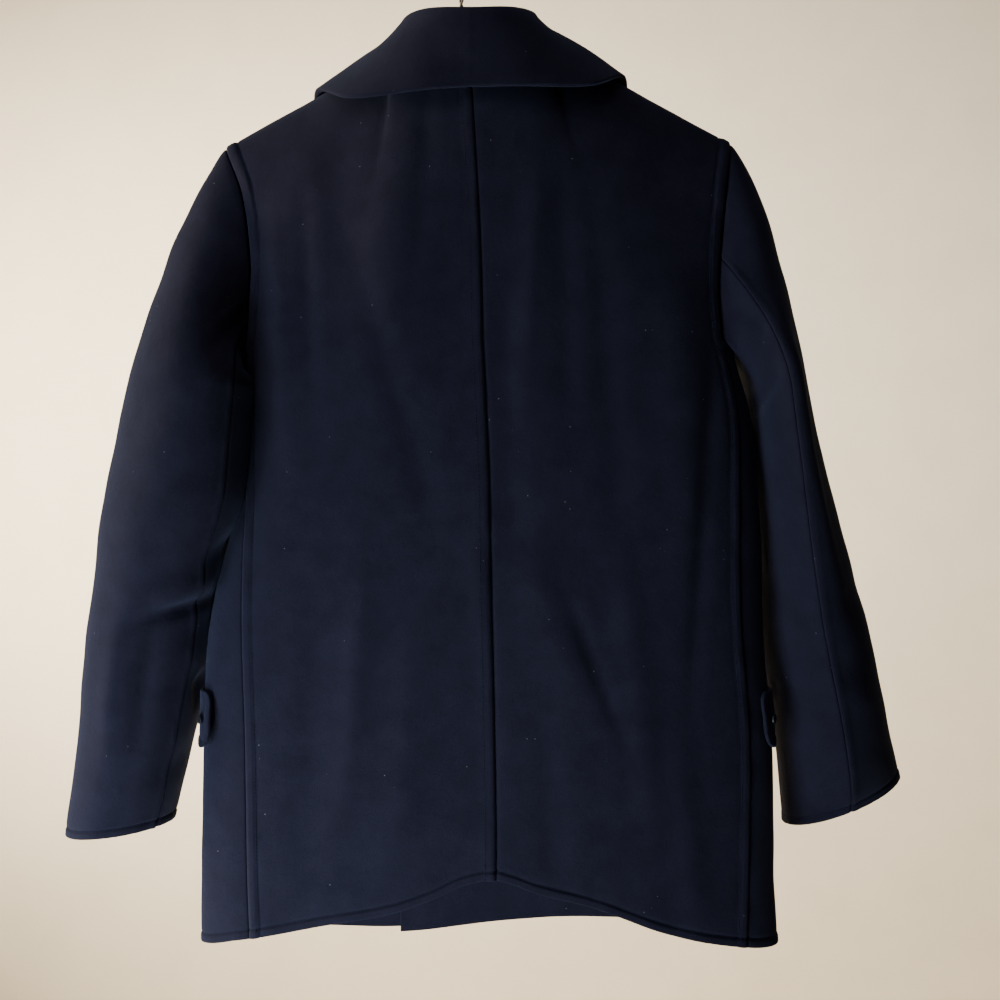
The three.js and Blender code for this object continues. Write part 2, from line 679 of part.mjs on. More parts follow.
// A disc with a raised rim and a dished face, standing on the front with its axis outward.
function buttonGeometry({ radius, thick, rim = 1.2, dish = 0.4 }, segments) {
  const profile = [
    [0, 0],
    [radius * 0.8, 0],
    [radius, thick * 0.45],
    [radius - 0.6, thick * 0.9],
    [radius - rim * 0.6, thick],
    [radius - rim, thick - dish],
    [0, thick - dish],
  ].map(([r, h]) => new THREE.Vector2(r, h));
  const turned = new THREE.LatheGeometry(profile, segments);
  turned.deleteAttribute('normal');
  turned.deleteAttribute('uv');
  return mergeVertices(turned, 1e-4);
}

function buttonOn(name, shape, segments, point, out) {
  const mesh = place(name, 'button', buttonGeometry(shape, segments));
  mesh.quaternion.setFromUnitVectors(new THREE.Vector3(0, 1, 0), out);
  mesh.position.copy(point).addScaledVector(out, clearance);
  return mesh;
}

function frontButtons() {
  return button.heights.flatMap((height, row) =>
    ['left', 'right'].map((side) => {
      const up = (height - hemHeight) / (underarm - hemHeight);
      const x = read(girths, 'up', 'middle', up) + sideSign(side) * button.spread;
      const point = new THREE.Vector3(x, frontDepth(x, up) - 0.4, height);
      return buttonOn(`button_${side}_${row + 1}`, button, 16, point, new THREE.Vector3(0, -1, 0));
    }),
  );
}

function flapStud(side) {
  const grid = flapGrid(side);
  const out = inward(grid, sideSign(side))[2][1].setLength(-1);
  return buttonOn(`flap_stud_${side}`, stud, 8, grid[2][1].clone(), out);
}

// One wire from the end of the twist down and round both shoulders, up the twist and on into
// the hook.
function hangerPath() {
  const points = [];
  const gap = wire.radius + 0.25;
  const twist = (share, phase) => {
    const turn = share * wire.turns * 2 * PI + phase;
    return new THREE.Vector3(gap * cos(turn), gap * sin(turn), lerp(wire.neckFoot, wire.neckTop, share));
  };
  const shoulderZ = (x) => wire.neckFoot - 5 - wire.slope * abs(x);
  const endZ = shoulderZ(wire.reach);
  const barZ = endZ - 2 * wire.endRadius;
  const arm = (x) => new THREE.Vector3(x, 0, shoulderZ(x));
  const bendAt = (sign, turn) => {
    const x = sign * (wire.reach + wire.endRadius * sin(turn));
    return new THREE.Vector3(x, 0, endZ - wire.endRadius + wire.endRadius * cos(turn));
  };
  const armPlaces = [9, 40, 80, 120, 160, wire.reach - 4];
  steps(1, 0, 20).forEach((share) => points.push(twist(share, PI)));
  armPlaces.forEach((x) => points.push(arm(-x)));
  steps(0.6, PI - 0.1, 4).forEach((turn) => points.push(bendAt(-1, turn)));
  steps(-wire.reach + 12, wire.reach - 12, 6).forEach((x) => points.push(new THREE.Vector3(x, 0, barZ)));
  steps(PI - 0.1, 0.6, 4).forEach((turn) => points.push(bendAt(1, turn)));
  [...armPlaces].reverse().forEach((x) => points.push(arm(x)));
  steps(0, 1, 20).forEach((share) => points.push(twist(share, 0)));
  const hookZ = -wire.hookRadius + wire.radius;
  steps(-0.5, 1.15, 14).forEach((share) => {
    const turn = share * PI;
    points.push(new THREE.Vector3(wire.hookRadius * cos(turn), 0, hookZ + wire.hookRadius * sin(turn)));
  });
  const tilt = new THREE.Matrix4().makeRotationY(wire.tilt);
  return points.map((point) => point.applyMatrix4(tilt));
}

function hanger() {
  const curve = new THREE.CatmullRomCurve3(hangerPath(), false, 'centripetal');
  const section = new THREE.Shape();
  steps(0, 2 * PI, wire.sides).slice(0, -1).forEach((turn, i) => {
    const method = i === 0 ? 'moveTo' : 'lineTo';
    section[method](wire.radius * cos(turn), wire.radius * sin(turn));
  });
  const tube = new THREE.ExtrudeGeometry(section, { steps: 150, extrudePath: curve, bevelEnabled: false });
  tube.deleteAttribute('normal');
  tube.deleteAttribute('uv');
  return place('hanger_wire', 'steel', mergeVertices(tube, 1e-4));
}

const coat = new THREE.Group();

['left', 'right'].forEach((side) => {
  const body = bodyHalf(side);
  const { sign } = body;
  const sleeve = sleevePieces(side, armholeLoop(body));
  const frontWall = clothWall(body.front, sign, { kept: keptOfFront, depths: body.frontDepths });
  coat.add(
    place(`back_${side}`, 'melton', clothWall(body.back, sign, { depths: body.backDepths })),
    place(`front_${side}`, 'melton', frontWall),
    place(`top_sleeve_${side}`, 'melton', sleeve.over),
    place(`under_sleeve_${side}`, 'melton', sleeve.under),
    place(`lapel_${side}`, 'melton', clothWall(lapelGrid(body), -sign)),
    place(`pocket_flap_${side}`, 'melton', clothWall(flapGrid(side), -sign)),
    flapStud(side),
  );
});
coat.add(place('collar', 'melton', clothWall(collarGrid(), 1)));
coat.add(...frontButtons());
coat.add(hanger());

export default coat;
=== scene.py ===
import math

import bpy
import numpy as np
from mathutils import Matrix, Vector


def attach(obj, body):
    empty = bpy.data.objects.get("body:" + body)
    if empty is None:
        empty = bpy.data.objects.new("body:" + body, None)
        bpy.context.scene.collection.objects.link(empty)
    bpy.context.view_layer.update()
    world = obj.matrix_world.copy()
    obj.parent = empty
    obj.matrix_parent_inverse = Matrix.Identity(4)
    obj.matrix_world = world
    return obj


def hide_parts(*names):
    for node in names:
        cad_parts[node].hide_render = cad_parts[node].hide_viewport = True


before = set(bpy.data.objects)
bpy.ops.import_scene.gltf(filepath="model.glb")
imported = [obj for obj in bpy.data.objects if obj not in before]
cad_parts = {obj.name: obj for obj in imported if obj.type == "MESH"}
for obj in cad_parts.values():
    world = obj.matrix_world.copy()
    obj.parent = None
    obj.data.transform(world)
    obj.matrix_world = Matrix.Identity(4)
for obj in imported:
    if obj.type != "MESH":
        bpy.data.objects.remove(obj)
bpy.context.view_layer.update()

MM = 0.001
CLOTH, EDGE_ROUND, INNER_ROUND = 3.0, 1.3, 0.6
FAR, SQUARE_REACH = 1e3, 9


def table(names, *rows):
    """A table as {column name: array}."""
    return dict(zip(names.split(), np.array(rows, float).T))


# Body
HEM_HEIGHT = -967.0
UNDERARM = -400.0
UNDERARM_DIP = 8.0
ROUNDNESS = 2.5
DOME_POWER = 3.0
HEM_BLEND = 30.0
OVERLAP = 95.0
TUCK_DEPTH = 14.0
TUCK_WIDTH = 105.0
NECK_SHARE = 0.375

GIRTHS = table(
    "up left leftSeam right rightSeam middle back front",
    (0.0, 243, 191, -306, -271, -38, 50, 50),
    (0.1, 243, 193, -303, -273, -38, 52, 51),
    (0.34, 241, 195, -299, -274, -36, 55, 55),
    (0.52, 236, 198, -292, -266, -34, 58, 58),
    (0.63, 224, 198, -290, -264, -33, 60, 60),
    (0.74, 208, 196, -287, -264, -32, 62, 62),
    (0.88, 200, 195, -280, -262, -29, 63, 63),
    (1.0, 203, 196, -262, -248, -26, 63, 63),
)
ARMHOLES = table(
    "up leftBack rightBack leftFront rightFront middle",
    (0.0, 196, -248, 196, -248, -26),
    (0.2, 194, -245, 187, -238, -25),
    (0.4, 193, -246, 183, -235, -23),
    (0.74, 202, -253, 193, -244, -18),
    (1.0, 221, -261, 221, -261, -13),
)
SHOULDER_Z = {"left": -213.0, "right": -209.0}
NECK_SIDE = {"left": (64.0, -126.0), "right": (-88.0, -116.0)}
NECK_BACK = (-13.0, 50.0, -140.0)
BACK_HEM = table(
    "x z",
    (-308, -971), (-247, -960), (-192, -946), (-128, -922), (-75, -908), (-38, -896),
    (-6, -901), (22, -914), (60, -927), (120, -939), (191, -955), (243, -966),
)
FRONT_HEM = table(
    "x z",
    (-308, -971), (-200, -962), (-118, -959), (-41, -964), (57, -974), (150, -970), (243, -966),
)

# Folds of the back: foot, top, half width and how far each stands out or sinks in. The largest
# ones come first.
LARGE_FOLDS = 5
BACK_FOLDS = [
    (56, -430, 52, -230, 30, 4.0),
    (108, -420, 105, -230, 22, -3.0),
    (-50, -640, -46, -340, 16, -4.0),
    (-214, -600, -205, -360, 24, 4.0),
    (-120, -740, -66, -600, 24, 3.5),
    (20, -560, 90, -330, 14, -2.6),
    (150, -520, 168, -300, 12, 3.2),
    (128, -470, 140, -280, 9, -2.2),
    (-150, -560, -128, -300, 16, -3.0),
    (-180, -830, -150, -600, 14, 3.0),
    (-218, -720, -236, -430, 9, -2.6),
    (60, -880, 30, -640, 24, 3.0),
    (140, -900, 120, -620, 20, -3.0),
    (98, -820, 84, -600, 12, 2.2),
    (-90, -890, -84, -760, 13, -2.6),
    (-46, -800, -22, -600, 10, 2.0),
    (-60, -470, -76, -250, 11, 2.6),
    (-104, -480, -98, -250, 12, -2.2),
    (-220, -930, -205, -780, 14, 2.6),
    (206, -700, 196, -520, 9, -2.2),
    (170, -640, 176, -560, 12, 1.8),
    (32, -330, 24, -180, 8, -1.6),
    (-150, -760, -104, -640, 8, -2.4),
]
# Folds of the front, in the same columns
FRONT_FOLDS = [
    (150, -930, 130, -560, 24, 2.4),
    (90, -940, 104, -700, 16, -1.8),
    (-200, -930, -176, -520, 22, 2.4),
    (-238, -900, -226, -640, 12, -2.0),
    (-110, -900, -120, -600, 20, -1.6),
    (176, -540, 140, -320, 16, -2.0),
    (-215, -560, -180, -320, 18, 2.0),
    (20, -920, 26, -640, 22, 1.6),
]

# Sleeves
LEFT_SLEEVE = table(
    "z x y across deep drop lean",
    (-868, 331.5, -30, 51.5, 46, 6, 0),
    (-776, 311, -20, 57, 55, 11, 0),
    (-675, 294.5, -12, 61.5, 61, 9, 0),
    (-612, 282, -9, 63, 64, 8, -16),
    (-549, 266, -6, 70, 66, 6, -30),
    (-450, 251, -4, 64, 70, 4, -34),
)
RIGHT_SLEEVE = table(
    "z x y across deep drop lean",
    (-844, -378.5, -40, 56.5, 47, -24, 0),
    (-776, -365.5, -30, 53.5, 58, -9, 0),
    (-675, -344.5, -18, 50.5, 70, -4, 24),
    (-612, -333, -12, 44, 77, 0, 34),
    (-549, -322.5, -8, 36.5, 82, 3, 34),
    (-450, -306, -6, 29, 84, 4, 20),
)
REST_SIDE, REST_FLAP, REST_BLEND = 0.6, 13.0, 30.0
SLEEVES = {"left": LEFT_SLEEVE, "right": RIGHT_SLEEVE}
LEAVE_ACROSS, LEAVE_DOWN, LEAVE_SPREAD, LEAVE_PULL = 0.6, 0.8, 0.5, 0.9
BELOW_RING, ARMHOLE_CLEARANCE, CAP_FREE = 30.0, 0.5, 0.05
LOOP_POINTS, STRIP_POINTS = 150, 60
# Angles in degrees of the seams behind and in front of the arm; 0 is the outer side of the arm
# and 90 its back.
SLEEVE_SEAMS = {"left": (146.0, 262.0), "right": (94.0, 236.0)}

# Creases of the sleeves: height, angle, reach round the arm in degrees, half height, how much
# each climbs per degree, and how far it stands out or sinks in.
LEFT_CREASES = [
    (-650, 128, 32, 7, 0.28, -7.0),
    (-630, 130, 32, 12, 0.28, 5.0),
    (-694, 140, 34, 18, 0.2, 2.2),
    (-725, 106, 10, 62, 0.0, -4.2),
    (-720, 76, 12, 60, 0.0, 3.4),
    (-590, 170, 24, 12, 0.3, -3.4),
    (-366, 138, 9, 9, 2.7, -3.0),
    (-352, 128, 14, 14, 2.2, 2.4),
    (-425, 110, 22, 16, 0.9, -1.4),
    (-770, 60, 34, 15, 0.3, -1.8),
    (-520, 120, 30, 16, 0.6, -1.8),
    (-470, 110, 40, 22, 0.8, 1.6),
    (-560, 60, 40, 30, 0.2, 1.8),
    (-800, 150, 26, 16, 0.2, -1.6),
    (-660, 250, 40, 13, -0.3, -2.4),
    (-630, 270, 40, 13, -0.3, 1.8),
    (-560, 290, 50, 16, -0.4, -1.6),
    (-330, 40, 60, 24, 0.2, -1.4),
]
RIGHT_CREASES = [
    (-520, 50, 26, 130, 0.0, -8.5),
    (-640, 50, 30, 14, -0.25, -2.0),
    (-500, 130, 20, 60, -0.4, 1.4),
    (-452, 134, 24, 9, -0.6, -3.2),
    (-398, 112, 22, 9, -0.7, -2.6),
    (-640, 130, 28, 14, 0.3, -2.0),
    (-700, 90, 46, 17, 0.2, -1.8),
    (-735, 64, 46, 16, 0.2, 1.6),
    (-780, 60, 50, 16, 0.1, -1.2),
    (-650, 260, 40, 13, 0.3, -2.2),
    (-600, 280, 44, 14, 0.3, 1.8),
    (-330, 50, 60, 22, -0.2, -1.4),
]
# How far the cloth is drawn up along the seam behind each arm
SEAM_RIDGES = {"left": 1.2, "right": 7.0}
CREASES = {"left": LEFT_CREASES, "right": RIGHT_CREASES}

# Collar
COLLAR = table(
    "along facing rise lean fold edgeX edgeY edgeZ",
    (0.0, 90, 31, 4, 13, 0, 67, -179),
    (0.2, 74, 32, 7, 13, 58, 66, -181),
    (0.4, 44, 29, 17, 13, 113, 49, -177),
    (0.55, 4, 24, 25, 13, 146, 5, -154),
    (0.7, -42, 20, 11, 15, 151, -32, -177),
    (0.85, -55, 12, 6, 14, 153, -48, -203),
    (1.0, -65, 6, 2, 14, 150, -54, -227),
)
COLLAR_TILT, COLLAR_SIDE, COLLAR_ROLL_END = 0.047, 0.55, 0.74
COLLAR_INSIDE, COLLAR_RAISE, COLLAR_PUFF, COLLAR_SOFT, NECK_INSET = 2.5, 0.8, 2.2, 2.3, 3.2

# Lapels and pocket flaps
LAPEL_WIDTHS = table("up share", (0, 0.04), (0.15, 0.22), (0.4, 0.5), (0.7, 0.7), (1, 0.79))
LAPEL_TOPS = table("share up", (0, 0.715), (0.45, 0.765), (0.6, 0.765), (0.8, 0.75))
LAPEL_LIFT = 6.2
FLAP_REAR, FLAP_AHEAD, FLAP_TOP, FLAP_FOOT = 68.0, 152.0, -728.0, -779.0
FLAP_LIFT, FLAP_FLARE, FLAP_CORNER = 4.2, 4.0, 0.5

# Buttons and hanger
BUTTON_RADIUS, BUTTON_THICK, BUTTON_SPREAD, BUTTON_RIM = 15.0, 4.5, 78.0, 0.3
BUTTON_HEIGHTS = (-430, -556, -682)
HOLES, HOLE_PLACE, HOLE_RADIUS, HOLE_DEPTH = 4, 2.6, 1.25, 1.6
CROSS_PITCH, CROSS_RADIUS, CROSS_APART, CROSS_LEVEL = 5.1, 0.6, 1.85, 0.74
STUD_RADIUS, STUD_THICK, STUD_RIM, STUD_SHARE = 4.5, 2.0, 0.5, 1 / 12
DISC_SINK, DISC_BACK, DISC_WALL, DISC_FACE, DISC_SIDES = 0.9, 10, 7, 34, 56
WIRE_RADIUS, WIRE_SIDES, HOOK_RADIUS, NECK_TOP, NECK_FOOT = 1.15, 12, 23.0, -50.0, -91.0
WIRE_REACH, WIRE_SLOPE, WIRE_END, WIRE_TURNS, WIRE_TILT = 200.0, 0.52, 7.0, 2, 0.055
WIRE_PLACES, TWIST_GAP, SHOULDER_DROP, HOOK_RISE = (9, 40, 80, 120, 160), 0.2, 5, 1.1

# Sewing
STITCH_PITCH, STITCH_RADIUS = 3.4, 0.3
SEAM_ROW, HEM_ROW, ARMHOLE_ROW, COLLAR_ROW, EDGE_ROW = 10.5, 8.5, 12.0, 12.0, 8.0

# Seeds of the stitched edges' unevenness and of the slow unevenness of the cloth
SEEDS = {"back": 20, "front": 50, "sleeve": 70, "collar": 90, "lapel": 100, "flap": 120}
FORM_SEEDS = {"back": 11, "front": 12, "sleeve": 13, "collar": 14, "rim": 15}

# Lengths in mm over which the lines of each piece's grid are spread
LOWER_LENGTH, UPPER_LENGTH, BACK_WIDTH, FRONT_WIDTH = 565, 240, 230, 300
STRIP_WIDTH = {"left": 112.0, "right": 100.0}
SLEEVE_RADIUS, CAP_LENGTH, ARM_LENGTH = 66, 250, 400
COLLAR_HALF, COLLAR_DEPTH, COLLAR_CORNER_LINES = 290, 150, 18
LAPEL_LENGTH, LAPEL_WIDTH, FLAP_LENGTH, FLAP_HEIGHT = 230, 170, 175, 51

# Camera and surroundings: place in metres, sensor and lens; then half the floor's width and depth,
# and the heights of the floor and of the wall's top
CAMERA_PLACE, SENSOR, LENS = (-0.041, 1.050, -0.549), 36, 39.56
WIDE, DEEP, FLOOR, TOP = 4000, 2600, -2300, 2400

UP = np.array([0.0, 0.0, 1.0])


def sign_of(side):
    """+1 on the wearer's left, -1 on the right."""
    return 1.0 if side == "left" else -1.0


def smooth(t):
    """0 to 1 with level ends."""
    t = np.clip(t, 0, 1)
    return t * t * (3 - 2 * t)


def lerp(a, b, t):
    """a at t 0 and b at t 1."""
    return a + (b - a) * t


def hump(distance, width):
    """1 at distance 0, falling off on both sides like a bell of that half width."""
    return np.exp(-((distance / width) ** 2))


def unit(vectors):
    """The vectors at length 1."""
    return vectors / np.maximum(np.linalg.norm(vectors, axis=-1, keepdims=True), 1e-9)


def vec(x, y, z):
    """Points from three arrays of any matching shapes."""
    return np.stack(np.broadcast_arrays(x, y, z), axis=-1).astype(float)


def read(rows, key, column, at):
    """A table's column at a key, on a cubic curve through its rows whose slope at a row is that
    between the rows before and after it."""
    keys, values = rows[key], rows[column]
    low = np.maximum(np.arange(len(keys)) - 1, 0)
    high = np.minimum(np.arange(len(keys)) + 1, len(keys) - 1)
    slopes = (values[high] - values[low]) / (keys[high] - keys[low])
    i = np.searchsorted(keys[1:-1], at, side="left")
    span = keys[i + 1] - keys[i]
    t = np.clip((at - keys[i]) / span, 0, 1)
    return hermite(values[i], values[i + 1], span * slopes[i], span * slopes[i + 1], t)


def hermite(start, end, leave, arrive, t):
    """A cubic from start to end whose slopes at t 0 and 1 are leave and arrive."""
    level = start * (2 * t**3 - 3 * t * t + 1) + end * (3 * t * t - 2 * t**3)
    return level + leave * (t**3 - 2 * t * t + t) + arrive * (t**3 - t * t)


def waves(at, length, seed):
    """An uneven smooth wave along a line, between about -1 and 1: five sines of nearby lengths."""
    draws = np.random.default_rng(seed)
    total = np.zeros(np.shape(at))
    for factor, phase in zip(draws.uniform(0.6, 1.7, 5), draws.uniform(0, 6.28, 5)):
        total += np.sin(at * 6.28 * factor / length + phase)
    return total / 3


def ripple(points, length, seed):
    """Uneven smooth waves in space, between about -1 and 1: nine sines in random directions."""
    draws = np.random.default_rng(seed)
    total = np.zeros(points.shape[:-1])
    for direction, phase in zip(unit(draws.normal(size=(9, 3))), draws.uniform(0, 6.28, 9)):
        total += np.sin(points @ direction * 6.28 / length + phase)
    return total / 4


def lines(length, step, marks=()):
    """Places from 0 to 1 along a length in mm, step apart and closer round each mark (place,
    reach, step). The ends have close lines for their rounding."""
    fine = np.linspace(0, length, 6000)
    density = np.full(fine.shape, 1 / step)
    for place, reach, close in [(0, 1.6, 0.45), (length, 1.6, 0.45), *marks]:
        density = np.maximum(density, hump(fine - place, reach) / close)
    count = np.concatenate([[0], np.cumsum((density[1:] + density[:-1]) / 2 * np.diff(fine))])
    return np.interp(np.linspace(0, count[-1], math.ceil(count[-1]) + 1), count, fine) / length


def run(points, axis):
    """Length along the grid's lines from its first one, in mm."""
    step = np.linalg.norm(np.diff(points, axis=axis), axis=2)
    start = np.zeros_like(np.take(step, [0], axis=axis))
    return np.concatenate([start, np.cumsum(step, axis=axis)], axis=axis)


def margins(base):
    """A grid's distances from its first column and row, to its last column and row, and the least
    of the four."""
    across, climb = run(base, 1), run(base, 0)
    to_last, to_top = across[:, -1:] - across, climb[-1:] - climb
    return across, climb, to_last, to_top, np.minimum.reduce([across, climb, to_last, to_top])


def sample(values, places, where):
    """A line's values, known at places along it, read between them."""
    return np.stack([np.interp(where, places, v) for v in values.T], -1)


def seed_of(side, name):
    """The seed of a piece's unevenness: the left one's, or ten more."""
    return SEEDS[name] + (0 if side == "left" else 10)


def square_to(out, distance, axis):
    """Normals turned square to an axis near a seam, so that the edges there stay side by side."""
    out = out.copy()
    out[..., axis] *= smooth(distance / SQUARE_REACH)
    return unit(out)


def normals(points, sign):
    """Unit normals of a grid of rows and columns, on the side given by the sign."""
    return sign * unit(np.cross(np.gradient(points, axis=1), np.gradient(points, axis=0)))


# The body's surface


def body(column, up):
    """A column of the body's girths at a level."""
    return read(GIRTHS, "up", column, up)


def bend(v):
    """Signed power for the rounded section of the body."""
    return np.sign(v) * np.abs(v) ** (2 / ROUNDNESS)


def lower_point(x, y, up):
    """A point between the hem (up 0) and the underarm (up 1); the hem's height goes with x."""
    hem = np.where(y > 0, read(BACK_HEM, "x", "z", x), read(FRONT_HEM, "x", "z", x))
    hem = lerp(HEM_HEIGHT, hem, np.minimum(1, np.abs(y) / HEM_BLEND))
    return vec(x, y, lerp(hem, UNDERARM, up))


def ring(side, angle, up):
    """The body's level line, a rounded oval: angle 0 is the back seam, 90 the side and 180 the
    front."""
    middle = body("middle", up)
    half = body(side, up) - middle
    turn = np.radians(angle)
    deep = np.where(np.cos(turn) > 0, body("back", up), body("front", up))
    return lower_point(middle + half * bend(np.sin(turn)), deep * bend(np.cos(turn)), up)


def seam_angle(side, up):
    """The angle at which the side seam runs at a level."""
    middle = body("middle", up)
    half = body(side, up) - middle
    share = (body(side + "Seam", up) - middle) / half
    return np.degrees(np.arcsin(share ** (ROUNDNESS / 2)))


def front_depth(x, up):
    """How far the front stands out at a place across the coat."""
    middle = body("middle", up)
    side = np.where(x > middle, body("left", up), body("right", up))
    share = np.minimum(1, np.abs((x - middle) / (side - middle)))
    return -body("front", up) * (1 - share**ROUNDNESS) ** (1 / ROUNDNESS)


def dome(up):
    """How the cloth comes in towards the shoulder seam: 1 at the underarm, 0 at the seam."""
    return np.sqrt(np.maximum(0, 1 - up**DOME_POWER))


def folds(points, rows):
    """The sum of soft folds, each a bell across a slanted line that fades out beyond its ends."""
    x, z = points[..., 0], points[..., 2]
    total = np.zeros(x.shape)
    for foot_x, foot_z, top_x, top_z, width, out in rows:
        along = (z - foot_z) / (top_z - foot_z)
        fade = smooth((along + 0.25) / 0.5) * smooth((1.25 - along) / 0.5)
        total += out * fade * hump(x - lerp(foot_x, top_x, along), width)
    return total


def shoulder_line(side, share):
    """The back's top edge: the neckline as a quarter oval, then the straight shoulder seam."""
    neck_x, neck_z = NECK_SIDE[side]
    turn = np.minimum(share / NECK_SHARE, 1) * math.pi / 2
    neckline = vec(
        lerp(NECK_BACK[0], neck_x, np.sin(turn)),
        NECK_BACK[1] * np.cos(turn),
        lerp(neck_z, NECK_BACK[2], np.cos(turn)),
    )
    out = np.maximum(0, (share - NECK_SHARE) / (1 - NECK_SHARE))
    end_x = read(ARMHOLES, "up", side + "Back", 1)
    seam = vec(lerp(neck_x, end_x, out), 0, lerp(neck_z, SHOULDER_Z[side], out))
    return np.where((share < NECK_SHARE)[..., None], neckline, seam)


def upper_back(side, share, up):
    """The back above the underarm, from the last level line to the top edge."""
    column = side + "Back"
    foot = ring(side, share * seam_angle(side, 1.0), 1.0)
    top = shoulder_line(side, share)
    middle, edge = read(ARMHOLES, "up", "middle", up), read(ARMHOLES, "up", column, up)
    foot_middle, foot_edge = ARMHOLES["middle"][0], ARMHOLES[column][0]
    foot_share = (foot[..., 0] - foot_middle) / (foot_edge - foot_middle)
    top_share = (top[..., 0] - NECK_BACK[0]) / (ARMHOLES[column][-1] - NECK_BACK[0])
    x = lerp(middle, edge, lerp(foot_share, top_share, smooth(up)))
    y = lerp(top[..., 1], foot[..., 1], dome(up))
    return vec(x, y, lerp(foot[..., 2], top[..., 2], up))


def back_point(side, share, up):
    """The back: share 0 is its middle seam and 1 the side, up 1 the underarm and 2 the top."""
    share, up = np.broadcast_arrays(np.asarray(share, float), np.asarray(up, float))
    level = np.minimum(up, 1)
    low = ring(side, share * seam_angle(side, level), level)
    high = upper_back(side, share, np.maximum(up - 1, 0))
    point = np.where((up <= 1)[..., None], low, high)
    point[..., 1] += folds(point, BACK_FOLDS[:LARGE_FOLDS]) * (1 - share**6)
    return point


def front_edge(side, up):
    """The front's free edge, and above the underarm the roll line of the lapel."""
    across = sign_of(side) * OVERLAP
    low = body("middle", np.minimum(up, 1)) - across
    top = lerp(GIRTHS["middle"][-1] - across, NECK_SIDE[side][0], np.maximum(up - 1, 0))
    return np.where(up <= 1, low, top)


def tucked(side, x, up):
    """How far the right front is tucked in under the left one."""
    if side == "left":
        return np.zeros(np.shape(x))
    return TUCK_DEPTH * smooth((x - front_edge("left", up) + 6) / TUCK_WIDTH + 1)


def front_point(side, share, up):
    """The front from its armhole column (share 0) to its free edge (share 1)."""
    share, up = np.broadcast_arrays(np.asarray(share, float), np.asarray(up, float))
    column = side + "Front"
    level, climb = np.minimum(up, 1), np.maximum(up - 1, 0)
    low_start = ring(side, 180 - seam_angle(side, level), level)[..., 0]
    start = np.where(up <= 1, low_start, read(ARMHOLES, "up", column, climb))
    x = lerp(start, front_edge(side, up), share)
    low = lower_point(x, front_depth(x, level), level)
    foot_x = lerp(ARMHOLES[column][0], front_edge(side, np.ones(1))[0], share)
    top_z = lerp(SHOULDER_Z[side], NECK_SIDE[side][1], share)
    high = vec(x, front_depth(foot_x, 1.0) * dome(climb), lerp(UNDERARM, top_z, climb))
    point = np.where((up <= 1)[..., None], low, high)
    point[..., 1] += tucked(side, x, up)
    return point


def side_point(side, share, up):
    """The strip under the arm, between the side seam (share 0) and the armhole column."""
    seam = seam_angle(side, up)
    point = ring(side, lerp(seam, 180 - seam, share), up)
    point[..., 2] -= UNDERARM_DIP * np.sin(share * math.pi) * up
    return point


# Making meshes


def mesh_object(name, points, faces, uv=None):
    """A smooth mesh in metres from points in mm, a list of faces and one uv pair a point."""
    mesh = bpy.data.meshes.new(name)
    mesh.from_pydata((points * MM).tolist(), [], faces)
    mesh.polygons.foreach_set("use_smooth", np.ones(len(mesh.polygons), bool))
    if uv is not None:
        layer = mesh.uv_layers.new(name="cloth")
        corners = np.empty(len(mesh.loops), np.int32)
        mesh.loops.foreach_get("vertex_index", corners)
        layer.data.foreach_set("uv", (uv[corners] * MM).ravel())
    mesh.update()
    thing = bpy.data.objects.new(name, mesh)
    bpy.context.scene.collection.objects.link(thing)
    return thing


def tube_faces(rings, sides):
    """The walls between rings of points, and the triangles that close the first and the last ring
    with one more point each."""
    ids = np.arange(rings * sides).reshape(rings, sides)
    nexts = np.roll(ids, -1, axis=1)
    walls = np.stack([ids[:-1], nexts[:-1], nexts[1:], ids[1:]], -1).reshape(-1, 4)
    start = np.stack([nexts[0], ids[0], np.full(sides, ids.size)], 1)
    end = np.stack([ids[-1], nexts[-1], np.full(sides, ids.size + 1)], 1)
    return walls, np.concatenate([start, end])


def rounding(edge, radius):
    """How far a face drops towards the middle of the cloth near its cut edge: a quarter circle."""
    inside = np.clip(radius - edge, 0, radius)
    return radius - np.sqrt(radius**2 - inside**2)


def shell(name, base, out, edge, form, detail, sign, keep=None, soft=EDGE_ROUND):
    """Cloth as a closed wall on a grid. The outer face is base + out * (form + detail), the inner
    one lies the thickness behind base + out * form, and both are rounded towards the edges, the
    outer one by the radius soft. Cells that keep leaves out are gaps. Gives the object and its
    outer face."""
    rows, columns = base.shape[:2]
    keep = np.ones((rows - 1, columns - 1), bool) if keep is None else keep
    outer = base + out * (form + detail - rounding(edge, soft))[..., None]
    inner = base + out * (form - CLOTH + rounding(edge, INNER_ROUND))[..., None]
    number = np.arange(rows * columns).reshape(rows, columns)
    far = rows * columns
    a, b = number[:-1, :-1][keep], number[:-1, 1:][keep]
    c, d = number[1:, 1:][keep], number[1:, :-1][keep]
    around = np.pad(keep, 1)
    here = around[1:-1, 1:-1]
    faces = [np.stack([a, b, c, d], 1), np.stack([a, d, c, b], 1) + far]
    corners = (number[:-1, :-1], number[:-1, 1:], number[1:, 1:], number[1:, :-1])
    neighbours = (around[:-2, 1:-1], around[1:-1, 2:], around[2:, 1:-1], around[1:-1, :-2])
    for k, other in enumerate(neighbours):
        rim = here & ~other
        p, q = corners[k][rim], corners[(k + 1) % 4][rim]
        faces.append(np.stack([p, p + far, q + far, q], 1))
    faces = np.concatenate(faces)
    if sign < 0:
        faces = faces[:, ::-1]
    used, faces = np.unique(faces, return_inverse=True)
    faces = faces.reshape(-1, 4)
    uv = np.stack([run(base, 1), run(base, 0)], -1).reshape(-1, 2)
    points = np.concatenate([outer.reshape(-1, 3), inner.reshape(-1, 3)])[used]
    return mesh_object(name, points, faces.tolist(), np.concatenate([uv, uv])[used]), outer


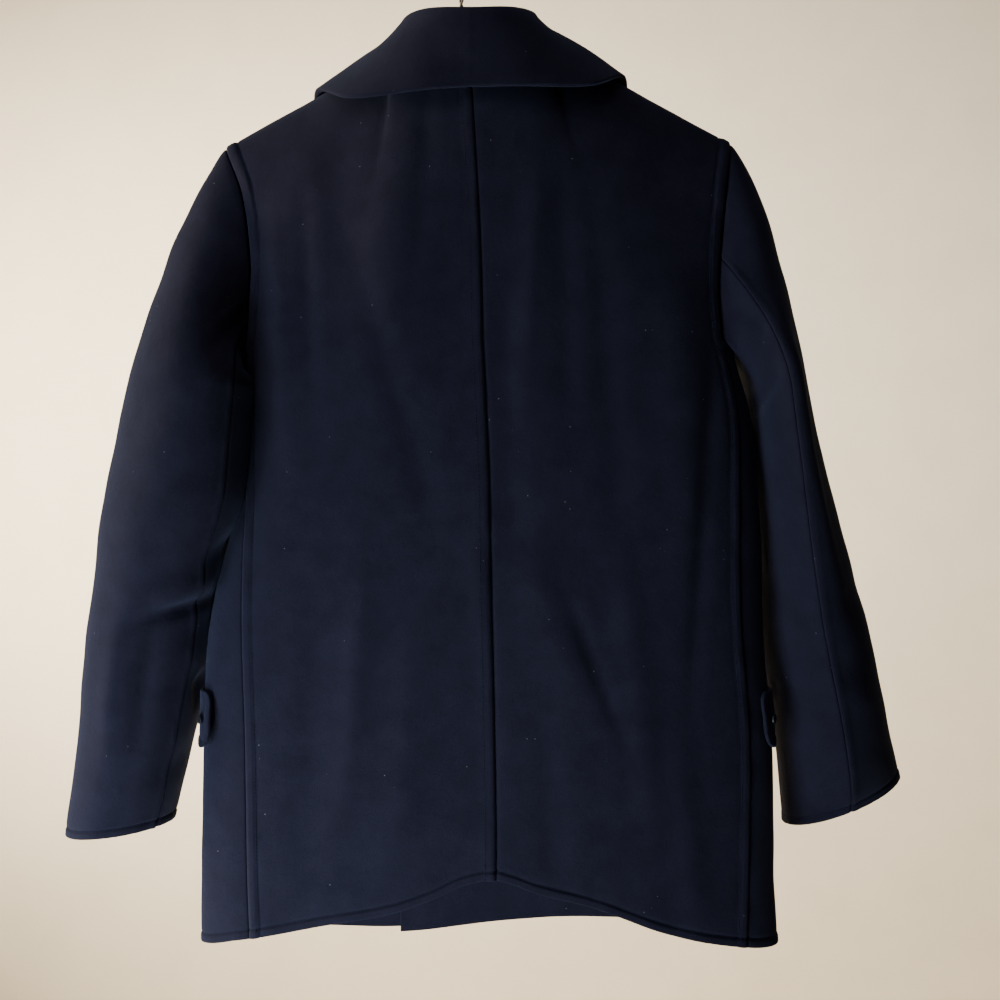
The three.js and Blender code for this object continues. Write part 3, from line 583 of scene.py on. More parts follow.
def at_distance(outer, out, distance, place, axis):
    """The line on a grid where a distance along the axis reaches a place, with its normals. Lines
    of the grid that never reach it are left out."""
    if axis == 0:
        outer, out, distance = (np.swapaxes(a, 0, 1) for a in (outer, out, distance))
    if distance[0, -1] < distance[0, 0]:
        outer, out, distance = (a[:, ::-1] for a in (outer, out, distance))
    past = distance >= place
    after = np.argmax(past, axis=1)
    good = (after > 0) & past.any(axis=1)
    row, after = np.arange(len(distance))[good], after[good]
    before = after - 1
    share = (place - distance[row, before]) / (distance[row, after] - distance[row, before])
    share = share[:, None]
    point = lerp(outer[row, before], outer[row, after], share)
    return point, lerp(out[row, before], out[row, after], share)


# A stitch is a thread over the cloth: rings of points along it and a point at each end. Places
# along it are shares of the pitch, heights are shares of the thread's radius.
STITCH_RINGS = np.array([-0.36, -0.12, 0.12, 0.36])
STITCH_HEIGHTS = np.array([0.1, 0.75, 0.75, 0.1])
STITCH_TIPS = np.array([-0.46, 0.46])
STITCH_SIDES = 5


def stitch_rows(name, rows, pitch=STITCH_PITCH, radius=STITCH_RADIUS):
    """Rows of stitches along lines of (points, normals): each stitch is a short arched thread
    whose ends sink into the cloth."""
    turn = np.arange(STITCH_SIDES) * 2 * math.pi / STITCH_SIDES
    every_points, every_faces, total = [], [], 0
    stitch_faces = tube_faces(len(STITCH_RINGS), STITCH_SIDES)
    for line, out in rows:
        length = run(line[None], 1)[0]
        count = int(length[-1] // pitch)
        if count < 1:
            continue
        middle = (np.arange(count) + 0.5) * length[-1] / count
        point, normal = sample(line, length, middle), unit(sample(out, length, middle))
        along = unit(sample(line, length, middle + 0.5) - sample(line, length, middle - 0.5))
        beside = unit(np.cross(normal, along))
        circle = radius * (
            np.cos(turn)[None, None, :, None] * beside[:, None, None]
            + np.sin(turn)[None, None, :, None] * normal[:, None, None]
        )
        arch = point[:, None] + along[:, None] * (STITCH_RINGS * pitch)[None, :, None]
        arch = arch + normal[:, None] * (STITCH_HEIGHTS * radius)[None, :, None]
        rings = (arch[:, :, None] + circle).reshape(count, -1, 3)
        tips = point[:, None] + along[:, None] * (STITCH_TIPS * pitch)[None, :, None]
        tips = tips - normal[:, None] * radius
        stitches = np.concatenate([rings, tips], axis=1)
        every_points.append(stitches.reshape(-1, 3))
        shift = (total + np.arange(count) * stitches.shape[1])[:, None, None]
        for faces in stitch_faces:
            every_faces += (faces + shift).reshape(-1, faces.shape[1]).tolist()
        total += count * stitches.shape[1]
    return mesh_object(name, np.concatenate(every_points), every_faces)


# Relief of the sewing


def seam_dip(distance):
    """The cloth falls into a plain seam."""
    return -0.6 * hump(distance, 3.2)


def pressed_seam(distance, along, row, seed):
    """A seam whose allowance is pressed to this side and stitched down at the row: the cloth
    stands up over the allowance, unevenly along it, and is pulled in at the stitches."""
    puff = 0.85 + 0.3 * waves(along, 60, seed) + 0.15 * waves(along, 14, seed + 1)
    ridge = 1.5 * puff * smooth(distance / 3.5) * smooth((row + 1.5 - distance) / 3.5)
    return ridge - 0.9 * hump(distance - row, 1.5) - 0.5 * hump(distance, 1.5)


def stitched_edge(distance, along, row, seed, high=0.7):
    """A folded edge stitched at the row: the rim outside the stitches is puffed up high."""
    puff = high + 0.25 * waves(along, 70, seed) + 0.15 * waves(along, 12, seed + 1)
    return puff * smooth((row + 1 - distance) / 3) - 0.9 * hump(distance - row, 1.4)


# Materials


def nodes_of(name):
    """A new material with its node tree and object coordinates."""
    material = bpy.data.materials.new(name)
    material.use_nodes = True
    coordinates = material.node_tree.nodes.new("ShaderNodeTexCoord")
    return material, material.node_tree, coordinates.outputs["Object"]


def feed(tree, value, socket):
    """Links an output into a socket, or gives it a number or a colour."""
    if isinstance(value, bpy.types.NodeSocket):
        tree.links.new(value, socket)
    else:
        socket.default_value = (*value, 1) if isinstance(value, tuple) else value


def shade(material, **values):
    """Feeds the shader's inputs, which are named with underscores for their spaces."""
    tree = material.node_tree
    for name, value in values.items():
        feed(tree, value, tree.nodes["Principled BSDF"].inputs[name.replace("_", " ")])
    return material


def noise(tree, vector, scale, detail=3.0, roughness=0.55):
    """A noise texture's value."""
    node = tree.nodes.new("ShaderNodeTexNoise")
    node.inputs["Scale"].default_value = scale
    node.inputs["Detail"].default_value = detail
    node.inputs["Roughness"].default_value = roughness
    tree.links.new(vector, node.inputs["Vector"])
    return node.outputs["Fac"]


def ramp(tree, value, low, high, first, second):
    """A value between low and high turned into a colour between two."""
    node = tree.nodes.new("ShaderNodeValToRGB")
    for stop, place, colour in zip(node.color_ramp.elements, (low, high), (first, second)):
        stop.position, stop.color = place, (*colour, 1)
    tree.links.new(value, node.inputs["Fac"])
    return node.outputs["Color"]


def mix(tree, factor, first, second, blend="MIX"):
    """Two colours mixed by a factor; a constant one may be given as a tuple."""
    node = tree.nodes.new("ShaderNodeMix")
    node.data_type = "RGBA"
    node.blend_type = blend
    for value, number in ((factor, 0), (first, 6), (second, 7)):
        feed(tree, value, node.inputs[number])
    return node.outputs[2]


def bump(tree, height, strength, distance, normal=None):
    """A bump node's normal."""
    node = tree.nodes.new("ShaderNodeBump")
    node.inputs["Strength"].default_value = strength
    node.inputs["Distance"].default_value = distance
    tree.links.new(height, node.inputs["Height"])
    if normal is not None:
        tree.links.new(normal, node.inputs["Normal"])
    return node.outputs["Normal"]


def specks(tree, vector, scale, size, share):
    """Small round specks in some of the cells of a Voronoi texture, as a mask."""
    cells = tree.nodes.new("ShaderNodeTexVoronoi")
    cells.inputs["Scale"].default_value = scale
    tree.links.new(vector, cells.inputs["Vector"])
    near = ramp(tree, cells.outputs["Distance"], size * 0.6, size, (1, 1, 1), (0, 0, 0))
    chosen = ramp(tree, cells.outputs["Color"], share, share + 0.01, (1, 1, 1), (0, 0, 0))
    return mix(tree, 1.0, near, chosen, "MULTIPLY")


def wool():
    """Fulled navy wool: a felted nap of short fibres, slightly mottled, with pale lint."""
    material, tree, place = nodes_of("navy_wool")
    dark, light = (0.0088, 0.0085, 0.0158), (0.0122, 0.0118, 0.0222)
    mottled = ramp(tree, noise(tree, place, 45, 4), 0.3, 0.75, dark, light)
    dim, bright = (0.55, 0.55, 0.6), (1.6, 1.6, 1.5)
    fibres = ramp(tree, noise(tree, place, 1300, 3, 0.7), 0.35, 0.8, dim, bright)
    felt = mix(tree, 1.0, mottled, fibres, "MULTIPLY")
    lint = specks(tree, place, 150, 0.085, 0.16)
    nap = bump(tree, noise(tree, place, 900, 5, 0.75), 0.55, 0.0007)
    return shade(
        material,
        Base_Color=mix(tree, lint, felt, (0.16, 0.17, 0.19)),
        Normal=bump(tree, noise(tree, place, 160, 3, 0.6), 0.35, 0.0011, nap),
        Roughness=0.95,
        Specular_IOR_Level=0.04,
        Sheen_Weight=0.08,
        Sheen_Roughness=0.5,
        Sheen_Tint=(0.35, 0.45, 0.75),
    )


def worn(name, colour, rough, relief=None, **values):
    """A material whose colour wanders between two by a noise: scale, detail, the noise's low and
    high values, and the colours there. So does its roughness, by a scale and two values, unless it
    is one number. The fine relief is a scale and a strength."""
    material, tree, place = nodes_of(name)
    values["Base_Color"] = ramp(tree, noise(tree, place, *colour[:2]), *colour[2:])
    if isinstance(rough, tuple):
        scale, first, second = rough
        rough = ramp(tree, noise(tree, place, scale), 0.3, 0.8, (first,) * 3, (second,) * 3)
    if relief is not None:
        scale, strength = relief
        values["Normal"] = bump(tree, noise(tree, place, scale, 2), strength, 0.0002)
    return shade(material, Roughness=rough, **values)


# Twisted sewing thread, near-black button resin with faint wear, drawn steel wire gone dull with
# brownish patches, and pale plaster
WOOL = wool()
NAVY = (1500, 2, 0.3, 0.7, (0.005, 0.007, 0.016), (0.012, 0.015, 0.03))
THREAD = worn("navy_thread", NAVY, 0.9, (3000, 0.4), Specular_IOR_Level=0.1)
NEAR_BLACK = (120, 3, 0.3, 0.8, (0.004, 0.004, 0.006), (0.012, 0.012, 0.017))
RESIN = worn("black_resin", NEAR_BLACK, (300, 0.3, 0.45), (700, 0.15), Specular_IOR_Level=0.22)
DULL = (260, 4, 0.35, 0.7, (0.30, 0.28, 0.24), (0.13, 0.10, 0.075))
STEEL = worn("dull_steel", DULL, (500, 0.3, 0.55), (1200, 0.2), Metallic=0.9)
PALE = (6, 3, 0.3, 0.7, (0.76, 0.70, 0.60), (0.80, 0.74, 0.64))
PLASTER = worn("pale_floor", PALE, 0.8)


def dress(thing, material, node):
    """Gives a piece its material in a material slot and its body, and hides the CAD part of that
    node's name.
    """
    thing.data.materials.append(material)
    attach(thing, "root")
    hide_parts(node)
    return thing


def cloth(node, threads, base, out, edge, form, detail, sign, rows, **more):
    """A dressed piece of cloth and the stitches on it. Each row of them gives a distance, the place
    where it runs, the distance's axis and the part of the grid."""
    thing, face = shell(node, base, out, edge, form, detail, sign, **more)
    dress(thing, WOOL, node)
    sewn = [
        at_distance(*(grid[part] for grid in (face, out, distance)), place, axis)
        for distance, place, axis, part in rows
    ]
    return thing, dress(stitch_rows(threads, sewn), THREAD, node)


# Camera, at the photo's distance and height, level and square to the back
camera = bpy.data.objects.new("camera", bpy.data.cameras.new("camera"))
bpy.context.scene.collection.objects.link(camera)
camera.location = CAMERA_PLACE
camera.rotation_euler = (math.pi / 2, 0, math.pi)
camera.data.sensor_width, camera.data.lens = SENSOR, LENS
camera.data.clip_start, camera.data.clip_end = 0.05, 50
bpy.context.scene.camera = camera

# Body panels

LOWER_ROWS = lines(LOWER_LENGTH, 4.2, [(HEM_ROW, 3, 0.8)])
UPS = np.concatenate([LOWER_ROWS, 1 + lines(UPPER_LENGTH, 3.6)[1:]])
UNDERARM_ROW = len(LOWER_ROWS) - 1
WHOLE = np.s_[:]


def cloth_form(points, name):
    """The slow unevenness of hanging cloth."""
    seed = FORM_SEEDS[name]
    return 0.7 * ripple(points, 130, seed) + 0.28 * ripple(points, 46, seed + 1)


def armhole_distance(points, from_armhole):
    """Distance from the armhole: sideways above the underarm, round its corner below it."""
    below = np.maximum(0, UNDERARM - points[..., 2])
    beside = np.maximum(0, from_armhole)
    return np.where((UPS > 1)[:, None], beside, np.hypot(beside, below))


def back_half(side):
    """One half of the back with the sewing along its seams and hem."""
    sign = -sign_of(side)
    shares = lines(BACK_WIDTH, 3.8, [(SEAM_ROW, 2.4, 0.8), (BACK_WIDTH - SEAM_ROW, 3.4, 0.9)])
    base = back_point(side, shares[None, :], UPS[:, None])
    across, climb, from_side, to_top, edge = margins(base)
    out = square_to(normals(base, sign), across, 0)
    out = np.where((shares > NECK_SHARE)[None, :, None], square_to(out, to_top, 1), out)
    form = folds(base, BACK_FOLDS[LARGE_FOLDS:]) * smooth(from_side / 26) * smooth(across / 14)
    form += cloth_form(base, "back") * smooth(np.minimum(across, from_side) / 14)
    seed = seed_of(side, "back")
    middle = pressed_seam(across, climb, SEAM_ROW, seed) if side == "left" else seam_dip(across)
    low = smooth((UNDERARM - 6 - base[..., 2]) / 12)
    detail = middle + low * pressed_seam(from_side, climb, SEAM_ROW, seed + 2)
    hole = armhole_distance(base, from_side)
    detail += (1 - low) * pressed_seam(hole, climb, ARMHOLE_ROW, seed + 4)
    detail += stitched_edge(climb, across, HEM_ROW, seed + 6) + seam_dip(to_top)
    rows = [(climb, HEM_ROW, 0, WHOLE)]
    if side == "left":
        rows.append((across, SEAM_ROW, 1, WHOLE))
    rows.append((from_side, SEAM_ROW, 1, np.s_[:UNDERARM_ROW]))
    rows.append((from_side, ARMHOLE_ROW, 1, np.s_[UNDERARM_ROW:]))
    node, threads = f"back_{side}", f"back_stitches_{side}"
    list(cloth(node, threads, base, out, edge, form, detail, sign, rows))


def front_half(side):
    """One front with the strip under the arm; above the underarm the strip's cells are left out."""
    sign = -sign_of(side)
    above = np.s_[UNDERARM_ROW + 1 :]
    strip = lines(STRIP_WIDTH[side], 4.2, [(SEAM_ROW, 2.4, 1.0)])
    shares = lines(FRONT_WIDTH, 4.2, [(ARMHOLE_ROW, 3, 1.0), (FRONT_WIDTH - EDGE_ROW, 3, 0.9)])
    arm = len(strip) - 1
    side_base = side_point(side, strip[None, :], np.minimum(UPS, 1)[:, None])
    side_base[above, :, 2] += (UPS[above, None] - 1) * UPPER_LENGTH
    full_base = front_point(side, shares[None, :], UPS[:, None])
    side_out, full_out = normals(side_base, sign), normals(full_base, sign)
    under = np.s_[: UNDERARM_ROW + 1]
    full_out[under, 0] = unit(side_out[under, -1] + full_out[under, 0])
    base = np.concatenate([side_base[:, :-1], full_base], axis=1)
    out = np.concatenate([side_out[:, :-1], full_out], axis=1)
    keep = np.ones((len(UPS) - 1, base.shape[1] - 1), bool)
    keep[UNDERARM_ROW:, :arm] = False
    across, climb, to_edge, to_top, _ = margins(base)
    from_armhole = across - across[:, arm : arm + 1]
    from_seam = np.where((UPS > 1)[:, None], FAR, across)
    out = square_to(out, to_top, 1)
    in_strip = (np.arange(base.shape[1]) < arm)[None, :]
    below = climb[UNDERARM_ROW : UNDERARM_ROW + 1] - climb
    hole_edge = np.abs(np.where((UPS > 1)[:, None], from_armhole, np.where(in_strip, below, FAR)))
    edge = np.minimum.reduce([from_seam, hole_edge, to_edge, climb, to_top])
    calm = smooth(np.minimum.reduce([from_seam, hole_edge, to_edge]) / 26)
    form = (folds(base, FRONT_FOLDS) + cloth_form(base, "front")) * calm
    seed = seed_of(side, "front")
    hole = armhole_distance(base, from_armhole)
    detail = seam_dip(from_seam) + stitched_edge(climb, across, HEM_ROW, seed)
    detail += pressed_seam(hole, climb, ARMHOLE_ROW, seed + 2) * smooth((base[..., 2] + 440) / 30)
    detail += stitched_edge(to_edge, climb, EDGE_ROW, seed + 4) + seam_dip(to_top)
    rows = [
        (climb, HEM_ROW, 0, WHOLE),
        (from_armhole, ARMHOLE_ROW, 1, (above, np.s_[arm:])),
        (to_edge, EDGE_ROW, 1, np.s_[:UNDERARM_ROW]),
    ]
    node, threads = f"front_{side}", f"front_stitches_{side}"
    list(cloth(node, threads, base, out, edge, form, detail, sign, rows, keep=keep))


# Sleeves


def armhole_loop(side):
    """The armhole from the shoulder down the back, under the arm and up the front: its points and
    the way out of the body's cloth there."""
    climb = np.linspace(2, 1.0001, LOOP_POINTS)
    share = np.linspace(0, 1, STRIP_POINTS)
    back = back_point(side, 1.0, climb)
    back_away = unit(back - back_point(side, 0.97, climb))
    strip = side_point(side, share, np.ones(STRIP_POINTS))
    strip_away = np.broadcast_to(UP, strip.shape)
    front = front_point(side, 0.0, climb[::-1])
    front_away = unit(front - front_point(side, 0.03, climb[::-1]))
    points = np.concatenate([back, strip[1:-1], front])
    away = np.concatenate([back_away, strip_away[1:-1], front_away])
    return points, away


def side_room(side, point):
    """How far points of a sleeve are from resting against the side of the body, in mm; the
    pocket flap needs more room than the bare side."""
    x, y, z = point[..., 0], point[..., 1], point[..., 2]
    up = (z - HEM_HEIGHT) / (UNDERARM - HEM_HEIGHT)
    middle = body("middle", up)
    behind, ahead = body("back", up), body("front", up)
    share = 1 - np.minimum(1, np.abs(y / np.where(y > 0, behind, ahead))) ** ROUNDNESS
    needed = lerp(REST_SIDE, REST_FLAP, smooth((FLAP_TOP + REST_BLEND - z) / REST_BLEND))
    edge = lerp(middle, body(side, up), share ** (1 / ROUNDNESS))
    return np.where(up > 1, FAR, sign_of(side) * (x - edge) - needed)


def rest_on_side(side, point):
    """Points of a sleeve moved out to where it rests against the side of the body."""
    x = point[..., 0] + sign_of(side) * np.maximum(0, -side_room(side, point))
    return vec(x, point[..., 1], point[..., 2])


def sleeve_ring(side, turn, z):
    """The sleeve's level line, an oval with its middle, widths, slant and lean from the table."""
    rows = SLEEVES[side]
    names = ("x", "y", "across", "deep", "drop", "lean")
    x, y, across, deep, drop, lean = (read(rows, "z", name, z) for name in names)
    depth = y + deep * np.sin(turn) - lean * (1 - np.cos(turn)) / 2
    point = vec(x + sign_of(side) * across * np.cos(turn), depth, z - drop * np.cos(turn))
    return rest_on_side(side, point)


def sleeve_surface(side, turn, down):
    """The sleeve: down 0 to 1 runs from the armhole to the first ring on a cubic curve that leaves
    along the cloth of the shoulder, and 1 to 2 from the first ring to the cuff."""
    points, away = armhole_loop(side)
    length = run(points[None], 1)[0]
    turns, where = length / length[-1] * 2 * math.pi, turn % (2 * math.pi)
    start = sample(points, turns, where) + ARMHOLE_CLEARANCE * unit(sample(away, turns, where))
    ring_z, cuff_z = SLEEVES[side]["z"][-1], SLEEVES[side]["z"][0]
    leave = vec(sign_of(side) * LEAVE_ACROSS, LEAVE_SPREAD * np.sin(turn), -LEAVE_DOWN)
    end = sleeve_ring(side, turn, ring_z)
    below = sleeve_ring(side, turn, ring_z - BELOW_RING)
    pull = np.linalg.norm(end - start, axis=-1, keepdims=True) * LEAVE_PULL
    t = np.clip(down, 0, 1)[:, None, None]
    cap = hermite(start, end, leave * pull, unit(below - end) * pull, t)
    cap = np.where(t > CAP_FREE, rest_on_side(side, cap), cap)
    arm = sleeve_ring(side, turn[None, :], lerp(ring_z, cuff_z, np.maximum(down - 1, 0))[:, None])
    return np.where((down <= 1)[:, None, None], cap, arm)


def sleeve_creases(side, turn, z):
    """Soft creases across the arm, each a bell in height and angle that climbs with the angle."""
    total = np.zeros(z.shape)
    for height, angle, reach, half, slant, out in CREASES[side]:
        offset = (np.degrees(turn) - angle + 180) % 360 - 180
        total += out * hump(offset, reach) * hump(z - height - slant * offset, half)
    return total


def sleeve_piece(side, name, first, last):
    """The part of a sleeve between two angles: the under sleeve from the seam behind the arm to the
    one in front of it, or the top sleeve from there round the outer side. Both are drawn up to a
    sharp ridge along the seam behind the arm."""
    girth = math.radians(last - first) * SLEEVE_RADIUS
    seams = [(6, 5, 1.2), (girth - 6, 5, 1.2)]
    turn = np.radians(lerp(first, last, lines(girth, 3.6, seams)))
    arm = lines(ARM_LENGTH, 4.0, [(ARM_LENGTH - HEM_ROW, 3, 0.8)])
    base = sleeve_surface(side, turn, np.concatenate([lines(CAP_LENGTH, 3.8), 1 + arm[1:]]))
    out = normals(base, -sign_of(side))
    across, along, to_last, to_cuff, edge = margins(base)
    behind, ahead = (across, to_last) if name == "under" else (to_last, across)
    rest = smooth(along / 30) * smooth(to_cuff / 25)
    form = (sleeve_creases(side, turn[None, :], base[..., 2]) + cloth_form(base, "sleeve")) * rest
    form = form + SEAM_RIDGES[side] * rest * np.exp(-behind / 13)
    form = np.where(form > 0, form * smooth(side_room(side, base) / 14), form)
    seed = seed_of(side, "sleeve")
    detail = seam_dip(ahead) - 0.8 * hump(behind, 1.6) - 0.6 * hump(along, 3)
    if name == "top":
        puff = 0.5 + 0.2 * waves(along, 40, seed)
        detail += puff * smooth(behind / 2) * smooth((8 - behind) / 3)
    detail += stitched_edge(to_cuff, across, HEM_ROW, seed + 4)
    node, rows = f"{name}_sleeve_{side}", [(to_cuff, HEM_ROW, 0, WHOLE)]
    threads = f"{node}_stitches"
    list(cloth(node, threads, base, out, edge, form, detail, -sign_of(side), rows))


# Collar


def curve(points, t):
    """A centripetal Catmull-Rom curve through the points (..., n, 3), at t from 0 to 1."""
    n = points.shape[-2]
    ahead = 2 * points[..., :1, :] - points[..., 1:2, :]
    beyond = 2 * points[..., -1:, :] - points[..., -2:-1, :]
    full = np.concatenate([ahead, points, beyond], axis=-2)
    place = t * (n - 1)
    i = np.minimum(np.floor(place).astype(int), n - 2)
    w = (place - i)[:, None]
    p0, p1, p2, p3 = (full[..., i + k, :] for k in range(4))
    d0, d1, d2 = (
        np.maximum(np.linalg.norm(b - a, axis=-1, keepdims=True), 1e-6) ** 0.5
        for a, b in ((p0, p1), (p1, p2), (p2, p3))
    )
    m1 = ((p1 - p0) / d0 - (p2 - p0) / (d0 + d1) + (p2 - p1) / d1) * d1
    m2 = ((p2 - p1) / d1 - (p3 - p1) / (d1 + d2) + (p3 - p2) / d2) * d1
    return hermite(p1, p2, m1, m2, w)


def neck_edge(side, along):
    """The neck edge that the collar is sewn to, on the inner face of back and fronts."""
    share = np.minimum(along / COLLAR_SIDE, 1) * NECK_SHARE
    point = back_point(side, share, 2.0)
    turn = np.minimum(along / COLLAR_SIDE, 1) * math.pi / 2
    facing = vec(sign_of(side) * np.sin(turn), np.cos(turn), 0)
    behind = point - facing * NECK_INSET
    roll = lerp(1, COLLAR_ROLL_END, np.maximum(0, (along - COLLAR_SIDE) / (1 - COLLAR_SIDE)))
    ahead = front_point(side, 1.0, 1 + roll)
    return np.where((along <= COLLAR_SIDE)[:, None], behind, ahead)


def collar_surface(side, along, around):
    """The collar: at each place along the neck a curve rises from the neck seam, turns over the
    fold and falls to the outer edge."""
    facing, rise, lean, fold, edge_x, edge_y, edge_z = (
        read(COLLAR, "along", c, along) for c in "facing rise lean fold edgeX edgeY edgeZ".split()
    )
    sign = sign_of(side)
    turn = np.radians(facing)
    outward = vec(sign * np.cos(turn), np.sin(turn), 0)
    neck = neck_edge(side, along) + COLLAR_RAISE * UP
    neck = neck - outward * (COLLAR_INSIDE * smooth((along - 0.5) * 8))[:, None]
    top = neck + UP * rise[:, None] - outward * lean[:, None]
    crest = top + outward * fold[:, None] / 2 + UP * 5
    turn_down = top + outward * fold[:, None] - UP * 2
    edge = vec(NECK_BACK[0] + sign * edge_x, edge_y, edge_z - sign * edge_x * COLLAR_TILT)
    belly = lerp(turn_down, edge, 0.5) + UP * 2
    return curve(np.stack([neck, top, crest, turn_down, belly, edge], axis=1), around)


def collar():
    """The whole collar from its right front end to its left one."""
    along = lines(COLLAR_HALF, 3.2, [(COLLAR_HALF - COLLAR_ROW, 3, 0.8)])
    around = lines(COLLAR_DEPTH, 2.6, [(COLLAR_DEPTH - COLLAR_ROW, 3, 0.7)])
    right = collar_surface("right", along[1:][::-1], around)
    base = np.concatenate([right, collar_surface("left", along, around)])
    out = normals(base, 1)
    across, climb, to_edge, to_end, edge = margins(base)
    fall = smooth((across - 55) / 30)
    seed = SEEDS["collar"]
    rim_waves = 0.5 * waves(climb, 120, FORM_SEEDS["rim"]) * smooth(1 - to_edge / 30)
    form = fall * (0.9 * ripple(base, 70, FORM_SEEDS["collar"]) + rim_waves)
    detail = stitched_edge(to_edge, climb, COLLAR_ROW, seed, COLLAR_PUFF)
    detail -= 0.8 * hump(to_edge - COLLAR_ROW, 3.5)
    detail += stitched_edge(np.minimum(climb, to_end), across, COLLAR_ROW, seed + 2) * fall
    rows = [(to_edge, COLLAR_ROW, 1, np.s_[COLLAR_CORNER_LINES:-COLLAR_CORNER_LINES])]
    build = ("collar", "collar_stitches", base, out, edge, form, detail, 1, rows)
    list(cloth(*build, soft=COLLAR_SOFT))


# Lapels, flaps, buttons and hanger


def lapel(side):
    """The lapel: points of its front moved out, from the roll line to its pointed outer edge."""
    rise = lines(LAPEL_LENGTH, 3.2, [(LAPEL_LENGTH - EDGE_ROW, 3, 0.9)])
    shares = lines(LAPEL_WIDTH, 3.2, [(LAPEL_WIDTH - EDGE_ROW, 3, 0.9)])
    width = read(LAPEL_WIDTHS, "up", "share", rise)
    share = shares[None, :] * width[:, None]
    up = 1 + rise[:, None] * read(LAPEL_TOPS, "share", "up", share)
    grid = front_point(side, 1 - share, up)
    step = 1e-3
    over = front_point(side, 1 - share, up + step) - grid
    beside = front_point(side, 1 - share - step, up) - grid
    out = unit(np.cross(beside, over))
    out = np.where(out[..., 1:2] > 0, -out, out)
    base = grid + out * LAPEL_LIFT
    across, climb, to_edge, to_top, edge = margins(base)
    seed = seed_of(side, "lapel")
    form = 0.3 * ripple(base, 60, seed)
    detail = stitched_edge(to_edge, climb, EDGE_ROW, seed + 1)
    detail += stitched_edge(to_top, across, EDGE_ROW, seed + 3)
    rows = [(to_edge, EDGE_ROW, 1, WHOLE), (to_top, EDGE_ROW, 0, WHOLE)]
    node, threads = f"lapel_{side}", f"lapel_stitches_{side}"
    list(cloth(node, threads, base, out, edge, form, detail, sign_of(side), rows))


def flap_surface(side, ahead, down):
    """The pocket flap: points of the body's side moved out, with a rounded, lifted rear corner."""
    z = lerp(FLAP_TOP, FLAP_FOOT, down)
    up = (z - HEM_HEIGHT) / (UNDERARM - HEM_HEIGHT)
    corner = FLAP_CORNER * (1 - np.sqrt(1 - np.abs(2 * down - 1) ** 3)) * (1 - smooth(ahead * 4))
    angle = lerp(FLAP_REAR + corner * 12, FLAP_AHEAD, ahead)
    point, after, before = (ring(side, angle + step, up) for step in (0, 1, -1))
    lift = FLAP_LIFT + FLAP_FLARE * (1 - smooth(ahead * 5)) * smooth(down * 2)
    out = unit(vec(after[..., 1] - before[..., 1], before[..., 0] - after[..., 0], 0))
    out = np.where(out[..., :1] * sign_of(side) < 0, -out, out)
    point = point + out * lift[..., None]
    point[..., 2] = z
    return point


def pocket_flap(side):
    """A pocket flap with stitched edges, and the small stud near its rear end."""
    ahead = lines(FLAP_LENGTH, 3.0, [(EDGE_ROW, 3, 0.9)])
    down = lines(FLAP_HEIGHT, 2.2, [(FLAP_HEIGHT - EDGE_ROW, 3, 0.8)])
    base = flap_surface(side, ahead[None, :], down[:, None])
    sign = sign_of(side)
    out = normals(base, sign)
    across, drop, _, to_foot, edge = margins(base)
    seed = seed_of(side, "flap")
    form = 0.3 * ripple(base, 40, seed)
    detail = stitched_edge(to_foot, across, EDGE_ROW, seed)
    detail += stitched_edge(across, drop, EDGE_ROW, seed + 2)
    rows = [(to_foot, EDGE_ROW, 0, WHOLE), (across, EDGE_ROW, 1, WHOLE)]
    node, threads = f"pocket_flap_{side}", f"flap_stitches_{side}"
    things = cloth(node, threads, base, out, edge, form, detail, sign, rows)
    near = flap_surface(side, STUD_SHARE + np.array([[0, 0.01]]), np.array([[0.5], [0.51]]))
    facing = unit(np.cross(near[0, 1] - near[0, 0], near[1, 0] - near[0, 0]))
    facing = facing * np.sign(facing[0]) * sign
    place = near[0, 0] + facing * DISC_SINK
    stud = disc(f"flap_stud_{side}", place, facing, STUD_RADIUS, STUD_THICK, STUD_RIM, 0)
    dress(stud, RESIN, f"flap_stud_{side}")


def disc(name, place, facing, radius, thick, rim, holes):
    """A turned disc: its height over the radius has a flat back, an upright side, a raised rim and
    a dished face, and round holes are pressed through the face."""
    inwards = np.linspace(0.97, 0.0, DISC_FACE)
    share = np.concatenate([np.linspace(0, 0.94, DISC_BACK), np.ones(DISC_WALL), inwards])
    dished = 0.99 - 0.24 * smooth((0.93 - inwards) / rim * 1.6)
    height = np.concatenate([np.zeros(DISC_BACK), np.linspace(0.12, 0.78, DISC_WALL), dished])
    turn = np.linspace(0, 2 * math.pi, DISC_SIDES, endpoint=False)
    x = share[1:-1, None] * np.cos(turn) * radius
    y = share[1:-1, None] * np.sin(turn) * radius
    level = np.broadcast_to(height[1:-1, None], x.shape) * thick
    face = (np.arange(len(share)) > DISC_BACK + DISC_WALL)[1:-1, None]
    for q in math.pi / 4 + np.arange(holes) * 2 * math.pi / max(holes, 1):
        near = np.hypot(x - HOLE_PLACE * np.cos(q), y - HOLE_PLACE * np.sin(q))
        level = level - face * HOLE_DEPTH * smooth((HOLE_RADIUS - near) / 0.5)
    first = unit(np.cross(facing, UP))
    second = np.cross(facing, first)
    points = place + x[..., None] * first - y[..., None] * second + level[..., None] * facing
    ends = np.stack([place, place + facing * height[-1] * thick])
    walls, caps = tube_faces(*x.shape)
    points = np.concatenate([points.reshape(-1, 3), ends])
    return mesh_object(name, points, walls.tolist() + caps.tolist())


